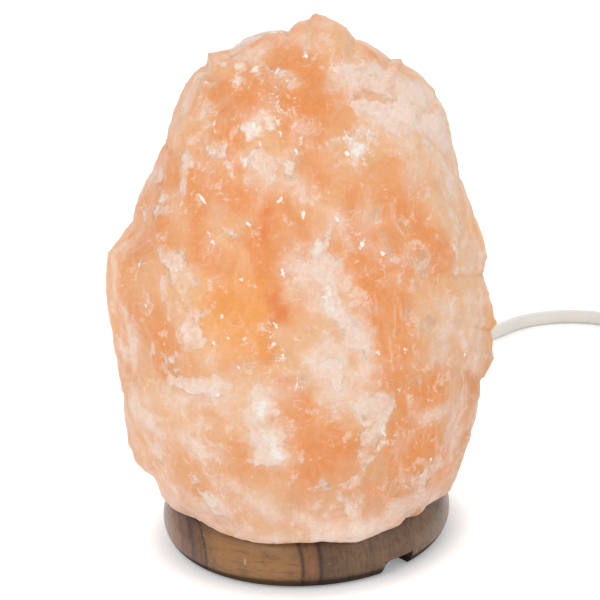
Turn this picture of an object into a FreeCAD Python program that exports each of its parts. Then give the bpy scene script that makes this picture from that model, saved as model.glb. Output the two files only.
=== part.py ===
"""Salt crystal lamp: a hewn, bored salt crystal on a round wooden base, lit from inside.

Millimetres.  +Z is up and z = 0 is the table.  The origin is on the axis of the wooden base, at the table.
-Y is the side that faces the room, +X is to its right.  The lamp cord leaves the base at the back left,
runs round behind the crystal and lies to the right, with its dimmer, its put-away coil and its plug.
"""

import FreeCAD, Part
import math
import os

V = FreeCAD.Vector

# ---------------------------------------------------------------- wooden base
FOOT_PROUD = 1.0            # how far the rubber feet hold the wood off the table
FOOT_RECESS = 1.0           # depth of the pocket that each foot is stuck into
FOOT_RADIUS = 5.0
FOOT_CIRCLE_RADIUS = 46.0
FOOT_COUNT = 4
BASE_RADIUS = 57.5          # at the belly of the turned edge
BASE_THICKNESS = 21.0
BASE_BELLY_HEIGHT = 8.0     # of the widest point, above the underside
BASE_RIM_INSET = 3.7        # how far the edge draws in at the underside
BASE_SHOULDER_INSET = 6.0   # how far the edge draws in at the top
BASE_HOLE_RADIUS = 26.0
GROOVE_WIDTH = 14.0         # the router groove for the cord, right across the underside
GROOVE_DEPTH = 6.3
GROOVE_AZIMUTH = 128.0      # direction of the end that the cord leaves by; the other end is the open notch
GROOVE_ROOF_RADIUS = 2.2    # rounded inner corners of the groove

# ---------------------------------------------------------------- what joins base and crystal
SCREW_COUNT = 3
SCREW_CIRCLE_RADIUS = 38.0
SCREW_FIRST_AZIMUTH = 38.0
SCREW_RADIUS = 2.1
SCREW_HEAD_RADIUS = 4.2
SCREW_HEAD_HEIGHT = 2.6
SCREW_HEAD_SINK = 3.0       # how deep the head sits in the underside
SCREW_GRIP = 22.0           # length of screw inside the crystal
WALL_PLUG_RADIUS = 4.0
WALL_PLUG_LENGTH = 26.0
FIT_GAP = 0.1               # round pieces of one body, side to side
CUT_PAST = 1.0              # how far a cutting shape reaches past the face that it opens

# ---------------------------------------------------------------- crystal
BORE_RADIUS = 24.0          # drilled from below for the lamp holder
BORE_END_RADIUS = 10.0      # rounded end of the drilled hole
BORE_HEADROOM = 16.0        # above the bulb
FACET_COUNT = 20            # hewn facets round the crystal
FACET_DEPTH = 2.0           # how far in the hewn corners stand, at most
FACET_LIFT = 1.7            # how far they stand above or below their level
LEVEL_STRIDE = 12.9898      # these three scatter the facets' unevenness, the same way each time
FACET_STRIDE = 78.233
SCATTER = 43758.5453
PEAK_X = 14.0
PEAK_Y = 3.0
CRYSTAL_HEIGHT = 189.8      # from the sole to the peak
CRYSTAL_BLUNTNESS = 2.25    # 2 gives an oval section, more gives squarer corners
SIDE_FACET_SHARE = 0.95     # corners that face further left or right than this stay at the full width
LEAN_FROM = 0.9             # share of the height above which the crystal leans towards its peak
LEAN_GROWTH = 2.0
HEWN_FACES = 44             # flat faces struck off the crystal, before those that would spoil its outline
HEWN_DEPTH = 2.4            # how far each goes in below the corner that stood out most
HEWN_LOWEST = -0.2          # how far the faces look down and up, as the sine of the angle
HEWN_HIGHEST = 0.55
HEWN_FACING = 0.4           # a face looks at least this much to the front or back
HEWN_SLANT = 0.4            # how much of a face's upward look counts as looking to the front
# share of the height, then how far the crystal reaches left, right, to the front and to the back
CRYSTAL_LEVELS = (
    (0.0, 55.0, 58.6, 60.0, 57.0),
    (0.042, 60.8, 62.0, 63.5, 60.5),
    (0.105, 68.3, 66.7, 66.0, 63.5),
    (0.19, 69.4, 70.2, 67.8, 65.3),
    (0.279, 71.0, 76.2, 67.5, 65.8),
    (0.348, 72.4, 76.4, 66.5, 65.0),
    (0.453, 74.0, 74.2, 64.0, 62.0),
    (0.545, 70.0, 72.2, 58.8, 59.2),
    (0.59, 61.9, 69.6, 54.6, 56.6),
    (0.638, 58.0, 67.0, 50.5, 54.0),
    (0.732, 48.3, 61.8, 42.0, 47.0),
    (0.822, 42.6, 57.6, 33.5, 39.0),
    (0.885, 33.4, 46.5, 26.0, 30.0),
    (0.933, 23.6, 33.0, 18.5, 18.5),
    (0.969, 6.0, 21.0, 11.0, 8.0),
)

# ---------------------------------------------------------------- cord
CORD_RADIUS = 3.1
CORD_LIFT = 0.1             # under the cord where it lies on the table
ARC_SHARE = 0.45            # of the shorter run at a corner, taken up by the bend
ELBOW_RUN = 10.0            # the cord turns from the holder into the groove in three equal steps
ELBOW_STEP = 30.0
ELBOW_DRIFT = -3.0          # degrees off the groove's axis
# where the cord lies, from the groove to the dimmer
LAMP_SIDE_ROUTE = (
    (-19.7, 24.0), (-36.2, 47.8), (-46.5, 76.0), (-43.9, 105.9), (-27.0, 132.5), (0.5, 152.5),
    (30.0, 166.5), (59.0, 175.5), (78.0, 183.0), (92.5, 192.0), (104.5, 203.5), (119.5, 208.8),
    (137.0, 207.5), (151.5, 199.5),
)
LAMP_SIDE_RISE = ((161.5, 184.5, 4.4), (165.0, 168.0, 8.0))
PLUG_SIDE_SINK = ((165.0, 39.0, 8.0), (166.0, 29.0, 4.6))
PLUG_END_RUN = 12.0         # straight run out of the coil, and into the plug
PLUG_SIDE_ROUTE = ((250.6, 46.0, 7.3), (248.8, 59.5, 4.2), (244.2, 72.0, 4.8))

# ---------------------------------------------------------------- strain reliefs
RELIEF_TIP_WALL = 0.7
RELIEF_ROOT_WALL = 2.0
RELIEF_NECK_WALL = 1.1
RELIEF_FLANGE_WALL = 3.0
RELIEF_FLANGE_LENGTH = 2.0
HOLDER_RELIEF_LENGTH = 20.0
DIMMER_RELIEF_LENGTH = 20.0
PLUG_RELIEF_LENGTH = 26.0
PLUG_RELIEF_EXTRA = 0.8     # on the root's radius
RELIEF_GROOVE_COUNT = 4
RELIEF_GROOVE_START = 7.8   # from the tip
RELIEF_GROOVE_PITCH = 3.9
RELIEF_GROOVE_WIDTH = 1.3
RELIEF_GROOVE_FLOOR = 0.8   # left round the cord at the bottom of a groove

# ---------------------------------------------------------------- lamp holder
HOLDER_RADIUS = 13.0
HOLDER_CAP_HEIGHT = 8.0
HOLDER_CAP_FLOOR = 2.0
HOLDER_CHAMBER_RADIUS = 8.0
HOLDER_CHAMBER_HEIGHT = 9.0
HOLDER_PARTITION = 3.5
HOLDER_SOCKET_DEPTH = 16.0
HOLDER_SCREW_RADIUS = 1.2
HOLDER_SCREW_CIRCLE_RADIUS = 10.5
HOLDER_SCREW_HEAD_RADIUS = 2.2
HOLDER_SCREW_HEAD_HEIGHT = 1.5
HOLDER_SCREW_SINK = 1.0
HOLDER_SCREW_GRIP = 12.0
HOLDER_SCREW_AZIMUTHS = (90.0, 270.0)
CLIP_THICKNESS = 0.7
CLIP_WIDTH = 12.0
CLIP_WALL_GAP = 0.3         # between the sprung wings and the bore of the crystal
CLIP_BEND_HEIGHT = 20.0     # of the widest bend above the strap
CLIP_TOP_HEIGHT = 31.0
CLIP_TOP_INSET = 5.0
CLIP_SHOULDER = 17.0        # where the strap turns up
SHELL_WALL = 0.4
THREAD_PITCH = 2.54
THREAD_COUNT = 4
THREAD_CREST_RADIUS = 5.9
THREAD_DEPTH = 0.5
THREAD_GAP = 0.15
CONTACT_RADIUS = 2.6
CONTACT_THICKNESS = 0.5
CONTACT_RISE = 1.6
CONTACT_GAP = 0.3           # between the bulb's tip and the sprung contact
CONTACT_SIDE_GAP = 0.6      # between the contact and the ring that the screw shell stands on
CONTACT_TAB_WIDTH = 4.0
CONTACT_TAB_GAP = 0.8       # between the contact's tab and the wall of the chamber
RIVET_RADIUS = 1.3
TERMINAL_OFFSET = 4.9
TERMINAL_RADIUS = 1.3
TERMINAL_HEAD_RADIUS = 2.4
TERMINAL_HEAD_HEIGHT = 1.6
WIRE_RADIUS = 1.0
WIRE_SPREAD = 1.6
WIRE_LEAD = 4.2             # straight part of a core at the relief and at its terminal

# ---------------------------------------------------------------- bulb
BULB_RADIUS = 10.0
BULB_GLASS_LENGTH = 34.0
BULB_GLASS_WALL = 0.7
BULB_NECK_RADIUS = 5.2
BULB_NECK_LENGTH = 1.5
BULB_NECK_RISE = 7.0        # from the neck to the full width
BULB_INSULATOR_HEIGHT = 2.2
BULB_INSULATOR_STEP = 0.8   # round the bulb's tip
BULB_TIP_RADIUS = 1.9
BULB_TIP_END_RADIUS = 1.33
BULB_TIP_HEIGHT = 1.3
BULB_STEM_RADIUS = 2.0
BULB_STEM_HEIGHT = 11.0
BULB_STEM_FLARE = 3.0       # height of its flared foot
BULB_LEAD_RADIUS = 0.3
BULB_LEAD_SPREAD = 4.2
BULB_LEAD_HEIGHT = 20.0
BULB_LEAD_STRAIGHT = 2.5    # at each end of a lead wire
FILAMENT_RADIUS = 0.4
FILAMENT_SAG = 3.0

# ---------------------------------------------------------------- inline dimmer
DIMMER_X = 165.0
DIMMER_Y = 101.0
DIMMER_LENGTH = 66.0
DIMMER_WIDTH = 30.0
DIMMER_HEIGHT = 19.0
DIMMER_SPLIT_HEIGHT = 8.0   # also the height of the cord in the dimmer
DIMMER_WALL = 1.8
DIMMER_CORNER = 9.0
DIMMER_EDGE = 2.2
BOARD_LENGTH = 40.0
BOARD_WIDTH = 23.0
BOARD_THICKNESS = 1.6
BOARD_HEIGHT = 5.0          # of its underside above the table
PILLAR_RADIUS = 1.6         # two pillars that the board rests on
PILLAR_X = 7.7
PILLAR_Y = 13.3
POST_RADIUS = 3.4
POST_X = 9.3
POST_Y = 24.4
DIMMER_SCREW_RADIUS = 1.3
DIMMER_SCREW_HEAD_RADIUS = 2.3
DIMMER_SCREW_HEAD_HEIGHT = 1.5
DIMMER_SCREW_SINK = 0.8
DIMMER_SCREW_LENGTH = 12.0
POT_SIDE = 15.0
POT_HEIGHT = 6.5
BUSHING_RADIUS = 3.5
SHAFT_RADIUS = 2.0
SHAFT_RUNNING_GAP = 0.05
SHAFT_IN_POT = 2.5
KNOB_RADIUS = 11.0
KNOB_HEIGHT = 8.0
KNOB_GAP = 0.4              # between the knob and the case
KNOB_GRIP_COUNT = 24
KNOB_GRIP_RADIUS = 0.8
KNOB_SOCKET_DEPTH = 5.5
KNOB_EDGE = 1.0
KNOB_DISH_RADIUS = 8.0
KNOB_DISH_DEPTH = 0.8
KNOB_INDEX_START = 3.0      # from the middle of the knob to the index groove, which runs out to the edge
KNOB_INDEX_WIDTH = 1.2
KNOB_INDEX_DEPTH = 0.7
TRIAC_SIZE = (14.0, 10.0, 4.4)
CAPACITOR_SIZE = (14.0, 6.0, 8.5)
COMPONENT_GAP = 0.8
WIRE_ON_BOARD = 1.0         # how far a core reaches over the board's edge

# ---------------------------------------------------------------- plug
PLUG_TIP_X = 229.5          # end of its strain relief
PLUG_TIP_Y = 94.5
PLUG_AZIMUTH = 126.0
PLUG_LENGTH = 28.0
PLUG_WIDTH = 25.0
PLUG_HEIGHT = 18.0
PLUG_CORNER = 5.0
PLUG_EDGE = 2.0
BLADE_SPACING = 12.7
BLADE_REACH = 17.0
BLADE_IN_BODY = 10.0
BLADE_THICKNESS = 1.5
BLADE_WIDTHS = (6.35, 7.9)  # the wider one is the neutral blade
BLADE_HOLE_RADIUS = 1.6
BLADE_HOLE_INSET = 4.5
BLADE_END_ROUND = 1.2

# ---------------------------------------------------------------- put-away coil
COIL_OUTER_RADIUS = 43.0    # to the middle of the outermost turn
COIL_PITCH = 6.7            # from turn to turn and from layer to layer
COIL_TURNS = 5.5
COIL_CLIMB_TURNS = 0.5      # the part of a turn in which the cord climbs to the upper layer
COIL_START_X = 166.0
COIL_START_Y = 15.0
GAP_POINTS = 900            # along the coil, to measure the gap between its turns
TIE_AZIMUTH = 270.0
TIE_WIDTH = 8.0
TIE_THICKNESS = 1.0
TIE_GAP = 0.3

# ---------------------------------------------------------------- heights and places worked out from these
BASE_TOP = FOOT_PROUD + BASE_THICKNESS
CORD_Z = CORD_LIFT + CORD_RADIUS
RELIEF_TIP_RADIUS = CORD_RADIUS + RELIEF_TIP_WALL
RELIEF_ROOT_RADIUS = CORD_RADIUS + RELIEF_ROOT_WALL
RELIEF_NECK_RADIUS = CORD_RADIUS + RELIEF_NECK_WALL
RELIEF_FLANGE_RADIUS = CORD_RADIUS + RELIEF_FLANGE_WALL
ELBOW_LONG = ELBOW_RUN * math.cos(math.radians(ELBOW_STEP))
ELBOW_SHORT = ELBOW_RUN * math.sin(math.radians(ELBOW_STEP))
HOLDER_CORD_END = CORD_Z + ELBOW_RUN + ELBOW_LONG + ELBOW_SHORT
CAP_BOTTOM = HOLDER_CORD_END + HOLDER_RELIEF_LENGTH
CAP_TOP = CAP_BOTTOM + HOLDER_CAP_HEIGHT
HOLDER_BOTTOM = CAP_TOP + CLIP_THICKNESS
PARTITION_BOTTOM = HOLDER_BOTTOM + HOLDER_CHAMBER_HEIGHT
PARTITION_TOP = PARTITION_BOTTOM + HOLDER_PARTITION
HOLDER_TOP = PARTITION_TOP + HOLDER_SOCKET_DEPTH
CONTACT_TOP = PARTITION_TOP + CONTACT_THICKNESS + CONTACT_RISE
BULB_TIP_Z = CONTACT_TOP + CONTACT_GAP
BULB_INSULATOR_Z = BULB_TIP_Z + BULB_TIP_HEIGHT
BULB_THREAD_Z = BULB_INSULATOR_Z + BULB_INSULATOR_HEIGHT
BULB_THREAD_TOP = BULB_THREAD_Z + THREAD_PITCH * THREAD_COUNT
BULB_TOP = BULB_THREAD_TOP + BULB_GLASS_LENGTH
BORE_TOP = BULB_TOP + BORE_HEADROOM
DIMMER_BACK = DIMMER_Y + DIMMER_LENGTH / 2
DIMMER_FRONT = DIMMER_Y - DIMMER_LENGTH / 2
COIL_LOWER_Z = TIE_THICKNESS + TIE_GAP + CORD_RADIUS
COIL_UPPER_Z = COIL_LOWER_Z + COIL_PITCH
COIL_INNER_RADIUS = COIL_OUTER_RADIUS - COIL_PITCH * COIL_TURNS / 2
COIL_X = COIL_START_X + COIL_OUTER_RADIUS
PLUG_Z = PLUG_HEIGHT / 2
UP = V(0, 0, 1)


# ---------------------------------------------------------------- general helpers
def polar(radius, azimuth, z=0.0):
    angle = math.radians(azimuth)
    return V(radius * math.cos(angle), radius * math.sin(angle), z)


def rod(radius, start, end):
    """A round bar between two points."""
    return Part.makeCylinder(radius, (end - start).Length, start, end - start)


def cone(radius_1, radius_2, start, end):
    return Part.makeCone(radius_1, radius_2, (end - start).Length, start, end - start)


def box(low, high):
    return Part.makeBox(high.x - low.x, high.y - low.y, high.z - low.z, low)


def line(start, end):
    return Part.LineSegment(start, end).toShape()


def turned(points):
    """Revolve a closed profile of (radius, height) points about Z."""
    corners = [V(r, 0, z) for r, z in points]
    face = Part.Face(Part.makePolygon(corners + corners[:1]))
    return face.revolve(V(0, 0, 0), UP, 360)


def turned_edges(edges):
    """Revolve a closed chain of edges in the XZ plane about Z."""
    return Part.Face(Part.Wire(edges)).revolve(V(0, 0, 0), UP, 360)


def rounded_block(length, width, height, corner, edge):
    """A block centred on Z with rounded upright corners and softened top and bottom edges."""
    block = box(V(-width / 2, -length / 2, 0), V(width / 2, length / 2, height))
    upright = [e for e in block.Edges if abs(e.Vertexes[0].Z - e.Vertexes[1].Z) > height / 2]
    block = block.makeFillet(corner, upright)
    flat = [e for e in block.Edges if e.BoundBox.ZLength < 1e-6]
    return block.makeFillet(edge, flat)


def moved(shape, offset, azimuth=0.0):
    """A copy of a shape, turned about Z and then shifted."""
    copy = shape.copy()
    copy.rotate(V(0, 0, 0), UP, azimuth)
    copy.translate(offset)
    return copy


def thread_edges(crest, depth, z, falling=False):
    """The rolled thread's outline as rounded ridges, going up, or down if falling."""
    edges = []
    for k in range(THREAD_COUNT):
        low = V(crest - depth, 0, z + k * THREAD_PITCH)
        high = low + V(0, 0, THREAD_PITCH)
        middle = V(crest, 0, low.z + THREAD_PITCH / 2)
        edges.append(Part.Arc(high, middle, low) if falling else Part.Arc(low, middle, high))
    if falling:
        edges.reverse()
    return [edge.toShape() for edge in edges]


# ---------------------------------------------------------------- cords
def rounded_route(points, name):
    """Straight runs joined by tangent arcs, each as large as its two runs allow."""
    edges = []
    radii = []
    start = points[0]
    for before, corner, after in zip(points, points[1:], points[2:]):
        run_in = corner - before
        run_out = after - corner
        shorter = min(run_in.Length, run_out.Length)
        half_turn = run_in.getAngle(run_out) / 2
        reach = ARC_SHARE * shorter
        run_in.normalize()
        run_out.normalize()
        arc_start = corner - run_in * reach
        arc_end = corner + run_out * reach
        radius = reach / math.tan(half_turn)
        inward = run_out - run_in
        inward.normalize()
        centre = corner + inward * (radius / math.cos(half_turn))
        edges.append(line(start, arc_start))
        edges.append(Part.Arc(arc_start, centre - inward * radius, arc_end).toShape())
        radii.append(radius)
        start = arc_end
    edges.append(line(start, points[-1]))
    print(name, "bend radii", [round(r, 1) for r in radii])
    return Part.Wire(edges)


def tube(path, radius):
    """A round tube swept along a wire."""
    first = path.OrderedEdges[0]
    start = first.valueAt(first.FirstParameter)
    section = Part.Wire(Part.Circle(start, first.tangentAt(first.FirstParameter), radius).toShape())
    return path.makePipeShell([section], True, False)


def cord_along(points, name):
    path = rounded_route(points, name)
    cord = tube(path, CORD_RADIUS)
    section = math.pi * CORD_RADIUS ** 2
    share = round(cord.Volume / section / path.Length, 4)
    print(name, "length", round(path.Length, 1), "volume share", share)
    return cord


def biarc(start, start_way, end, end_way):
    """Two tangent arcs from one point and direction to another."""
    chord = end - start
    ways = start_way + end_way
    along = chord.dot(ways)
    spread = 2.0 * (1.0 - start_way.dot(end_way))
    reach = (math.sqrt(along ** 2 + spread * chord.dot(chord)) - along) / spread
    middle = (start + start_way * reach + end - end_way * reach) * 0.5
    return [tangent_arc(start, start_way, middle), tangent_arc(end, end_way * -1, middle, True)]


def tangent_arc(start, way, end, backwards=False):
    """The arc that leaves start in the direction way and ends at end."""
    chord = end - start
    side = chord - way * chord.dot(way)
    side.normalize()
    radius = chord.dot(chord) / (2.0 * chord.dot(side))
    centre = start + side * radius
    outward = start + end - centre * 2.0
    outward.normalize()
    middle = centre + outward * radius
    arc = Part.Arc(end, middle, start) if backwards else Part.Arc(start, middle, end)
    return arc.toShape()


def coil_place(turns):
    """The coil's centre line after so many turns: in on the lower layer, out again on the upper one."""
    half = COIL_TURNS / 2
    radius = COIL_INNER_RADIUS + COIL_PITCH * abs(turns - half)
    climb = min(max((turns - half) / COIL_CLIMB_TURNS + 0.5, 0.0), 1.0)
    z = COIL_LOWER_Z + COIL_PITCH * (1.0 - math.cos(math.pi * climb)) / 2
    return polar(radius, 180.0 + 360.0 * turns, z) + V(COIL_X, COIL_START_Y, 0)


def coil_way(turns):
    if turns in (0.0, COIL_TURNS):
        return polar(1.0, 270.0 + 360.0 * turns)
    step = 0.001
    way = coil_place(turns + step) - coil_place(turns - step)
    way.normalize()
    return way


def coil_path():
    count = round(COIL_TURNS * 4)
    marks = [COIL_TURNS * k / count for k in range(count + 1)]
    straight = 2 * CORD_RADIUS
    edges = [line(coil_place(0.0) - coil_way(0.0) * straight, coil_place(0.0))]
    for a, b in zip(marks, marks[1:]):
        edges += biarc(coil_place(a), coil_way(a), coil_place(b), coil_way(b))
    edges.append(line(coil_place(COIL_TURNS), coil_place(COIL_TURNS) + coil_way(COIL_TURNS) * straight))
    return Part.Wire(edges)


def coil_gap(path):
    """The least gap between the coil's turns, measured on points along its centre line."""
    points = path.discretize(Number=GAP_POINTS)
    skip = int(6 * CORD_RADIUS * GAP_POINTS / path.Length)
    least = min((points[i] - points[j]).Length
                for i in range(GAP_POINTS) for j in range(i + skip, GAP_POINTS))
    return least - 2 * CORD_RADIUS


# ---------------------------------------------------------------- crystal and base
def unevenness(level, facet):
    """A fixed, irregular number from -1 to 1 for each hewn corner."""
    scattered = math.sin(LEVEL_STRIDE * (level + 1) + FACET_STRIDE * (facet + 1)) * SCATTER
    return 2.0 * (scattered - math.floor(scattered)) - 1.0


def crystal_corner(level, facet):
    share, left, right, front, back = CRYSTAL_LEVELS[level]
    angle = 2.0 * math.pi * (facet + 0.5 * (level % 2)) / FACET_COUNT
    across, along = math.cos(angle), math.sin(angle)
    side = right if across > 0 else left
    depth = back if along > 0 else front
    power = CRYSTAL_BLUNTNESS
    reach = (abs(across / side) ** power + abs(along / depth) ** power) ** (-1.0 / power)
    broad = abs(across) > SIDE_FACET_SHARE
    reach -= 0.0 if broad else FACET_DEPTH * (1.0 + unevenness(level, facet)) / 2.0
    lift = 0.0 if level == 0 or broad else FACET_LIFT * unevenness(level + len(CRYSTAL_LEVELS), facet)
    lean = V(PEAK_X, PEAK_Y, 0) * max(0.0, share - LEAN_FROM) * LEAN_GROWTH
    return lean + V(reach * across, reach * along, BASE_TOP + share * CRYSTAL_HEIGHT + lift)


def hewn_ways():
    """Which way each flat face looks, spread evenly by the golden angle."""
    golden = math.pi * (3.0 - math.sqrt(5.0))
    for i in range(HEWN_FACES):
        rise = HEWN_LOWEST + (HEWN_HIGHEST - HEWN_LOWEST) * (i + 0.5) / HEWN_FACES
        flat = math.sqrt(1.0 - rise * rise)
        way = V(flat * math.cos(golden * i), flat * math.sin(golden * i), rise)
        if abs(way.y - HEWN_SLANT * way.z) > HEWN_FACING:
            yield way


def hewn(crystal):
    """The crystal with its flat faces struck off."""
    corners = [vertex.Point for vertex in crystal.Vertexes]
    struck = []
    for way in hewn_ways():
        furthest = max(corner.dot(way) for corner in corners)
        waste = Part.makeBox(CRYSTAL_HEIGHT, CRYSTAL_HEIGHT, CRYSTAL_HEIGHT,
                             V(-CRYSTAL_HEIGHT / 2, -CRYSTAL_HEIGHT / 2, furthest - HEWN_DEPTH))
        waste.Placement = FreeCAD.Placement(V(0, 0, 0), FreeCAD.Rotation(UP, way))
        struck.append(waste)
    return crystal.cut(struck)


def salt_crystal():
    rings = [[crystal_corner(i, k) for k in range(FACET_COUNT)] for i in range(len(CRYSTAL_LEVELS))]
    peak = V(PEAK_X, PEAK_Y, BASE_TOP + CRYSTAL_HEIGHT)
    facets = []
    for i, (lower, upper) in enumerate(zip(rings, rings[1:])):
        for k in range(FACET_COUNT):
            n = (k + 1) % FACET_COUNT
            if i % 2 == 0:
                facets += [(lower[k], lower[n], upper[k]), (upper[k], lower[n], upper[n])]
            else:
                facets += [(lower[k], upper[n], upper[k]), (lower[k], lower[n], upper[n])]
    facets += [(rings[-1][k], rings[-1][(k + 1) % FACET_COUNT], peak) for k in range(FACET_COUNT)]
    faces = [Part.Face(Part.makePolygon(list(f) + [f[0]])) for f in facets]
    sole = list(reversed(rings[0]))
    faces.append(Part.Face(Part.makePolygon(sole + sole[:1])))
    shell = Part.makeShell(faces)
    shell.sewShape()
    crystal = hewn(Part.Solid(Part.Shell(shell.Faces)))
    crystal = crystal.cut(lamp_bore())
    for azimuth in screw_azimuths():
        hole = rod(WALL_PLUG_RADIUS + FIT_GAP, polar(SCREW_CIRCLE_RADIUS, azimuth, BASE_TOP),
                   polar(SCREW_CIRCLE_RADIUS, azimuth, BASE_TOP + WALL_PLUG_LENGTH + FIT_GAP))
        crystal = crystal.cut(hole)
    return crystal


def lamp_bore():
    corner = BORE_RADIUS - BORE_END_RADIUS
    slant = BORE_END_RADIUS * math.sqrt(0.5)
    low = BASE_TOP - CUT_PAST
    turn = V(BORE_RADIUS, 0, BORE_TOP - BORE_END_RADIUS)
    bend = V(corner + slant, 0, BORE_TOP - BORE_END_RADIUS + slant)
    edges = [line(V(0, 0, low), V(BORE_RADIUS, 0, low)), line(V(BORE_RADIUS, 0, low), turn),
             Part.Arc(turn, bend, V(corner, 0, BORE_TOP)).toShape(),
             line(V(corner, 0, BORE_TOP), V(0, 0, BORE_TOP)), line(V(0, 0, BORE_TOP), V(0, 0, low))]
    return turned_edges(edges)


def screw_azimuths():
    return [SCREW_FIRST_AZIMUTH + 360.0 * k / SCREW_COUNT for k in range(SCREW_COUNT)]


def foot_azimuths():
    return [GROOVE_AZIMUTH + 45.0 + 360.0 * k / FOOT_COUNT for k in range(FOOT_COUNT)]


def edge_arc(inset, rise):
    """The turned edge's arc from the belly to a circle inset from it, as middle and end points."""
    radius = (inset ** 2 + rise ** 2) / (2.0 * inset)
    half = math.asin(rise / radius) / 2
    sign = math.copysign(1.0, rise)
    belly = FOOT_PROUD + BASE_BELLY_HEIGHT
    middle = V(BASE_RADIUS - radius + radius * math.cos(half), 0, belly + sign * radius * math.sin(abs(half)))
    return middle, V(BASE_RADIUS - inset, 0, belly + rise)


def wood_base():
    belly = V(BASE_RADIUS, 0, FOOT_PROUD + BASE_BELLY_HEIGHT)
    low_middle, rim = edge_arc(BASE_RIM_INSET, -BASE_BELLY_HEIGHT)
    high_middle, shoulder = edge_arc(BASE_SHOULDER_INSET, BASE_THICKNESS - BASE_BELLY_HEIGHT)
    inner_low = V(BASE_HOLE_RADIUS, 0, FOOT_PROUD)
    inner_high = V(BASE_HOLE_RADIUS, 0, BASE_TOP)
    edges = [line(inner_low, rim), Part.Arc(rim, low_middle, belly).toShape(),
             Part.Arc(belly, high_middle, shoulder).toShape(), line(shoulder, inner_high),
             line(inner_high, inner_low)]
    base = turned_edges(edges)
    base = base.cut(cord_groove())
    for azimuth in foot_azimuths():
        base = base.cut(foot(azimuth))
    for azimuth in screw_azimuths():
        base = base.cut(base_screw(azimuth, FIT_GAP))
        mouth = rod(SCREW_HEAD_RADIUS + FIT_GAP, polar(SCREW_CIRCLE_RADIUS, azimuth, FOOT_PROUD - CUT_PAST),
                    polar(SCREW_CIRCLE_RADIUS, azimuth, FOOT_PROUD + SCREW_HEAD_SINK))
        base = base.cut(mouth)
    return base


def cord_groove():
    """A round-shouldered groove across the whole underside."""
    reach = BASE_RADIUS + CUT_PAST
    groove = box(V(-reach, -GROOVE_WIDTH / 2, FOOT_PROUD - CUT_PAST),
                 V(reach, GROOVE_WIDTH / 2, FOOT_PROUD + GROOVE_DEPTH))
    roof = [e for e in groove.Edges
            if e.BoundBox.XLength > reach and e.BoundBox.ZMin > FOOT_PROUD + GROOVE_DEPTH / 2]
    groove = groove.makeFillet(GROOVE_ROOF_RADIUS, roof)
    return moved(groove, V(0, 0, 0), GROOVE_AZIMUTH)


def foot(azimuth):
    return rod(FOOT_RADIUS, polar(FOOT_CIRCLE_RADIUS, azimuth, 0.0),
               polar(FOOT_CIRCLE_RADIUS, azimuth, FOOT_PROUD + FOOT_RECESS))


def base_screw(azimuth, gap=0.0):
    """A countersunk screw, pointing up; gap gives the hole that it goes through."""
    head = FOOT_PROUD + SCREW_HEAD_SINK
    neck = head + SCREW_HEAD_HEIGHT
    tip = BASE_TOP + SCREW_GRIP
    point = 2.0 * SCREW_RADIUS
    thin = SCREW_RADIUS + gap
    screw = turned([(0, head), (SCREW_HEAD_RADIUS + gap, head), (thin, neck), (thin, tip - point),
                    (0, tip)])
    return moved(screw, polar(SCREW_CIRCLE_RADIUS, azimuth))


def wall_plug(azimuth):
    low = polar(SCREW_CIRCLE_RADIUS, azimuth, BASE_TOP)
    high = polar(SCREW_CIRCLE_RADIUS, azimuth, BASE_TOP + WALL_PLUG_LENGTH)
    return rod(WALL_PLUG_RADIUS, low, high).cut(base_screw(azimuth, FIT_GAP / 2))


# ---------------------------------------------------------------- strain reliefs
def relief(length, wall):
    """Along +Z: a flange inside the case, a neck through its wall at z = 0, and a taper down to the tip."""
    return turned([(0, wall + RELIEF_FLANGE_LENGTH), (RELIEF_FLANGE_RADIUS, wall + RELIEF_FLANGE_LENGTH),
                   (RELIEF_FLANGE_RADIUS, wall), (RELIEF_NECK_RADIUS, wall), (RELIEF_NECK_RADIUS, 0),
                   (RELIEF_ROOT_RADIUS, 0), (RELIEF_TIP_RADIUS, -length), (0, -length)])


def relief_at(root, way, length, wall):
    """A strain relief whose neck goes through a wall at root; way points from the tip into the case."""
    piece = relief(length, wall)
    turn = FreeCAD.Rotation(UP, way)
    piece.Placement = FreeCAD.Placement(root, turn)
    return piece


# ---------------------------------------------------------------- lamp holder
def holder_screw(azimuth, gap=0.0):
    head = CAP_BOTTOM + HOLDER_SCREW_SINK
    neck = head + HOLDER_SCREW_HEAD_HEIGHT
    tip = HOLDER_BOTTOM + HOLDER_SCREW_GRIP
    screw = rod(HOLDER_SCREW_HEAD_RADIUS + gap, V(0, 0, head), V(0, 0, neck + gap))
    screw = screw.fuse(rod(HOLDER_SCREW_RADIUS + gap, V(0, 0, neck), V(0, 0, tip + gap)))
    return moved(screw, polar(HOLDER_SCREW_CIRCLE_RADIUS, azimuth))


def holder_cap():
    cap = rod(HOLDER_RADIUS, V(0, 0, CAP_BOTTOM), V(0, 0, CAP_TOP))
    cap = cap.cut(rod(HOLDER_CHAMBER_RADIUS, V(0, 0, CAP_BOTTOM + HOLDER_CAP_FLOOR),
                      V(0, 0, CAP_TOP + CUT_PAST)))
    cap = cap.cut(rod(RELIEF_NECK_RADIUS + FIT_GAP, V(0, 0, CAP_BOTTOM - CUT_PAST), V(0, 0, CAP_TOP)))
    for azimuth in HOLDER_SCREW_AZIMUTHS:
        cap = cap.cut(holder_screw(azimuth, FIT_GAP))
        place = polar(HOLDER_SCREW_CIRCLE_RADIUS, azimuth)
        cap = cap.cut(rod(HOLDER_SCREW_HEAD_RADIUS + FIT_GAP, place + V(0, 0, CAP_BOTTOM - CUT_PAST),
                          place + V(0, 0, CAP_BOTTOM + HOLDER_SCREW_SINK)))
    return cap


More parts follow.
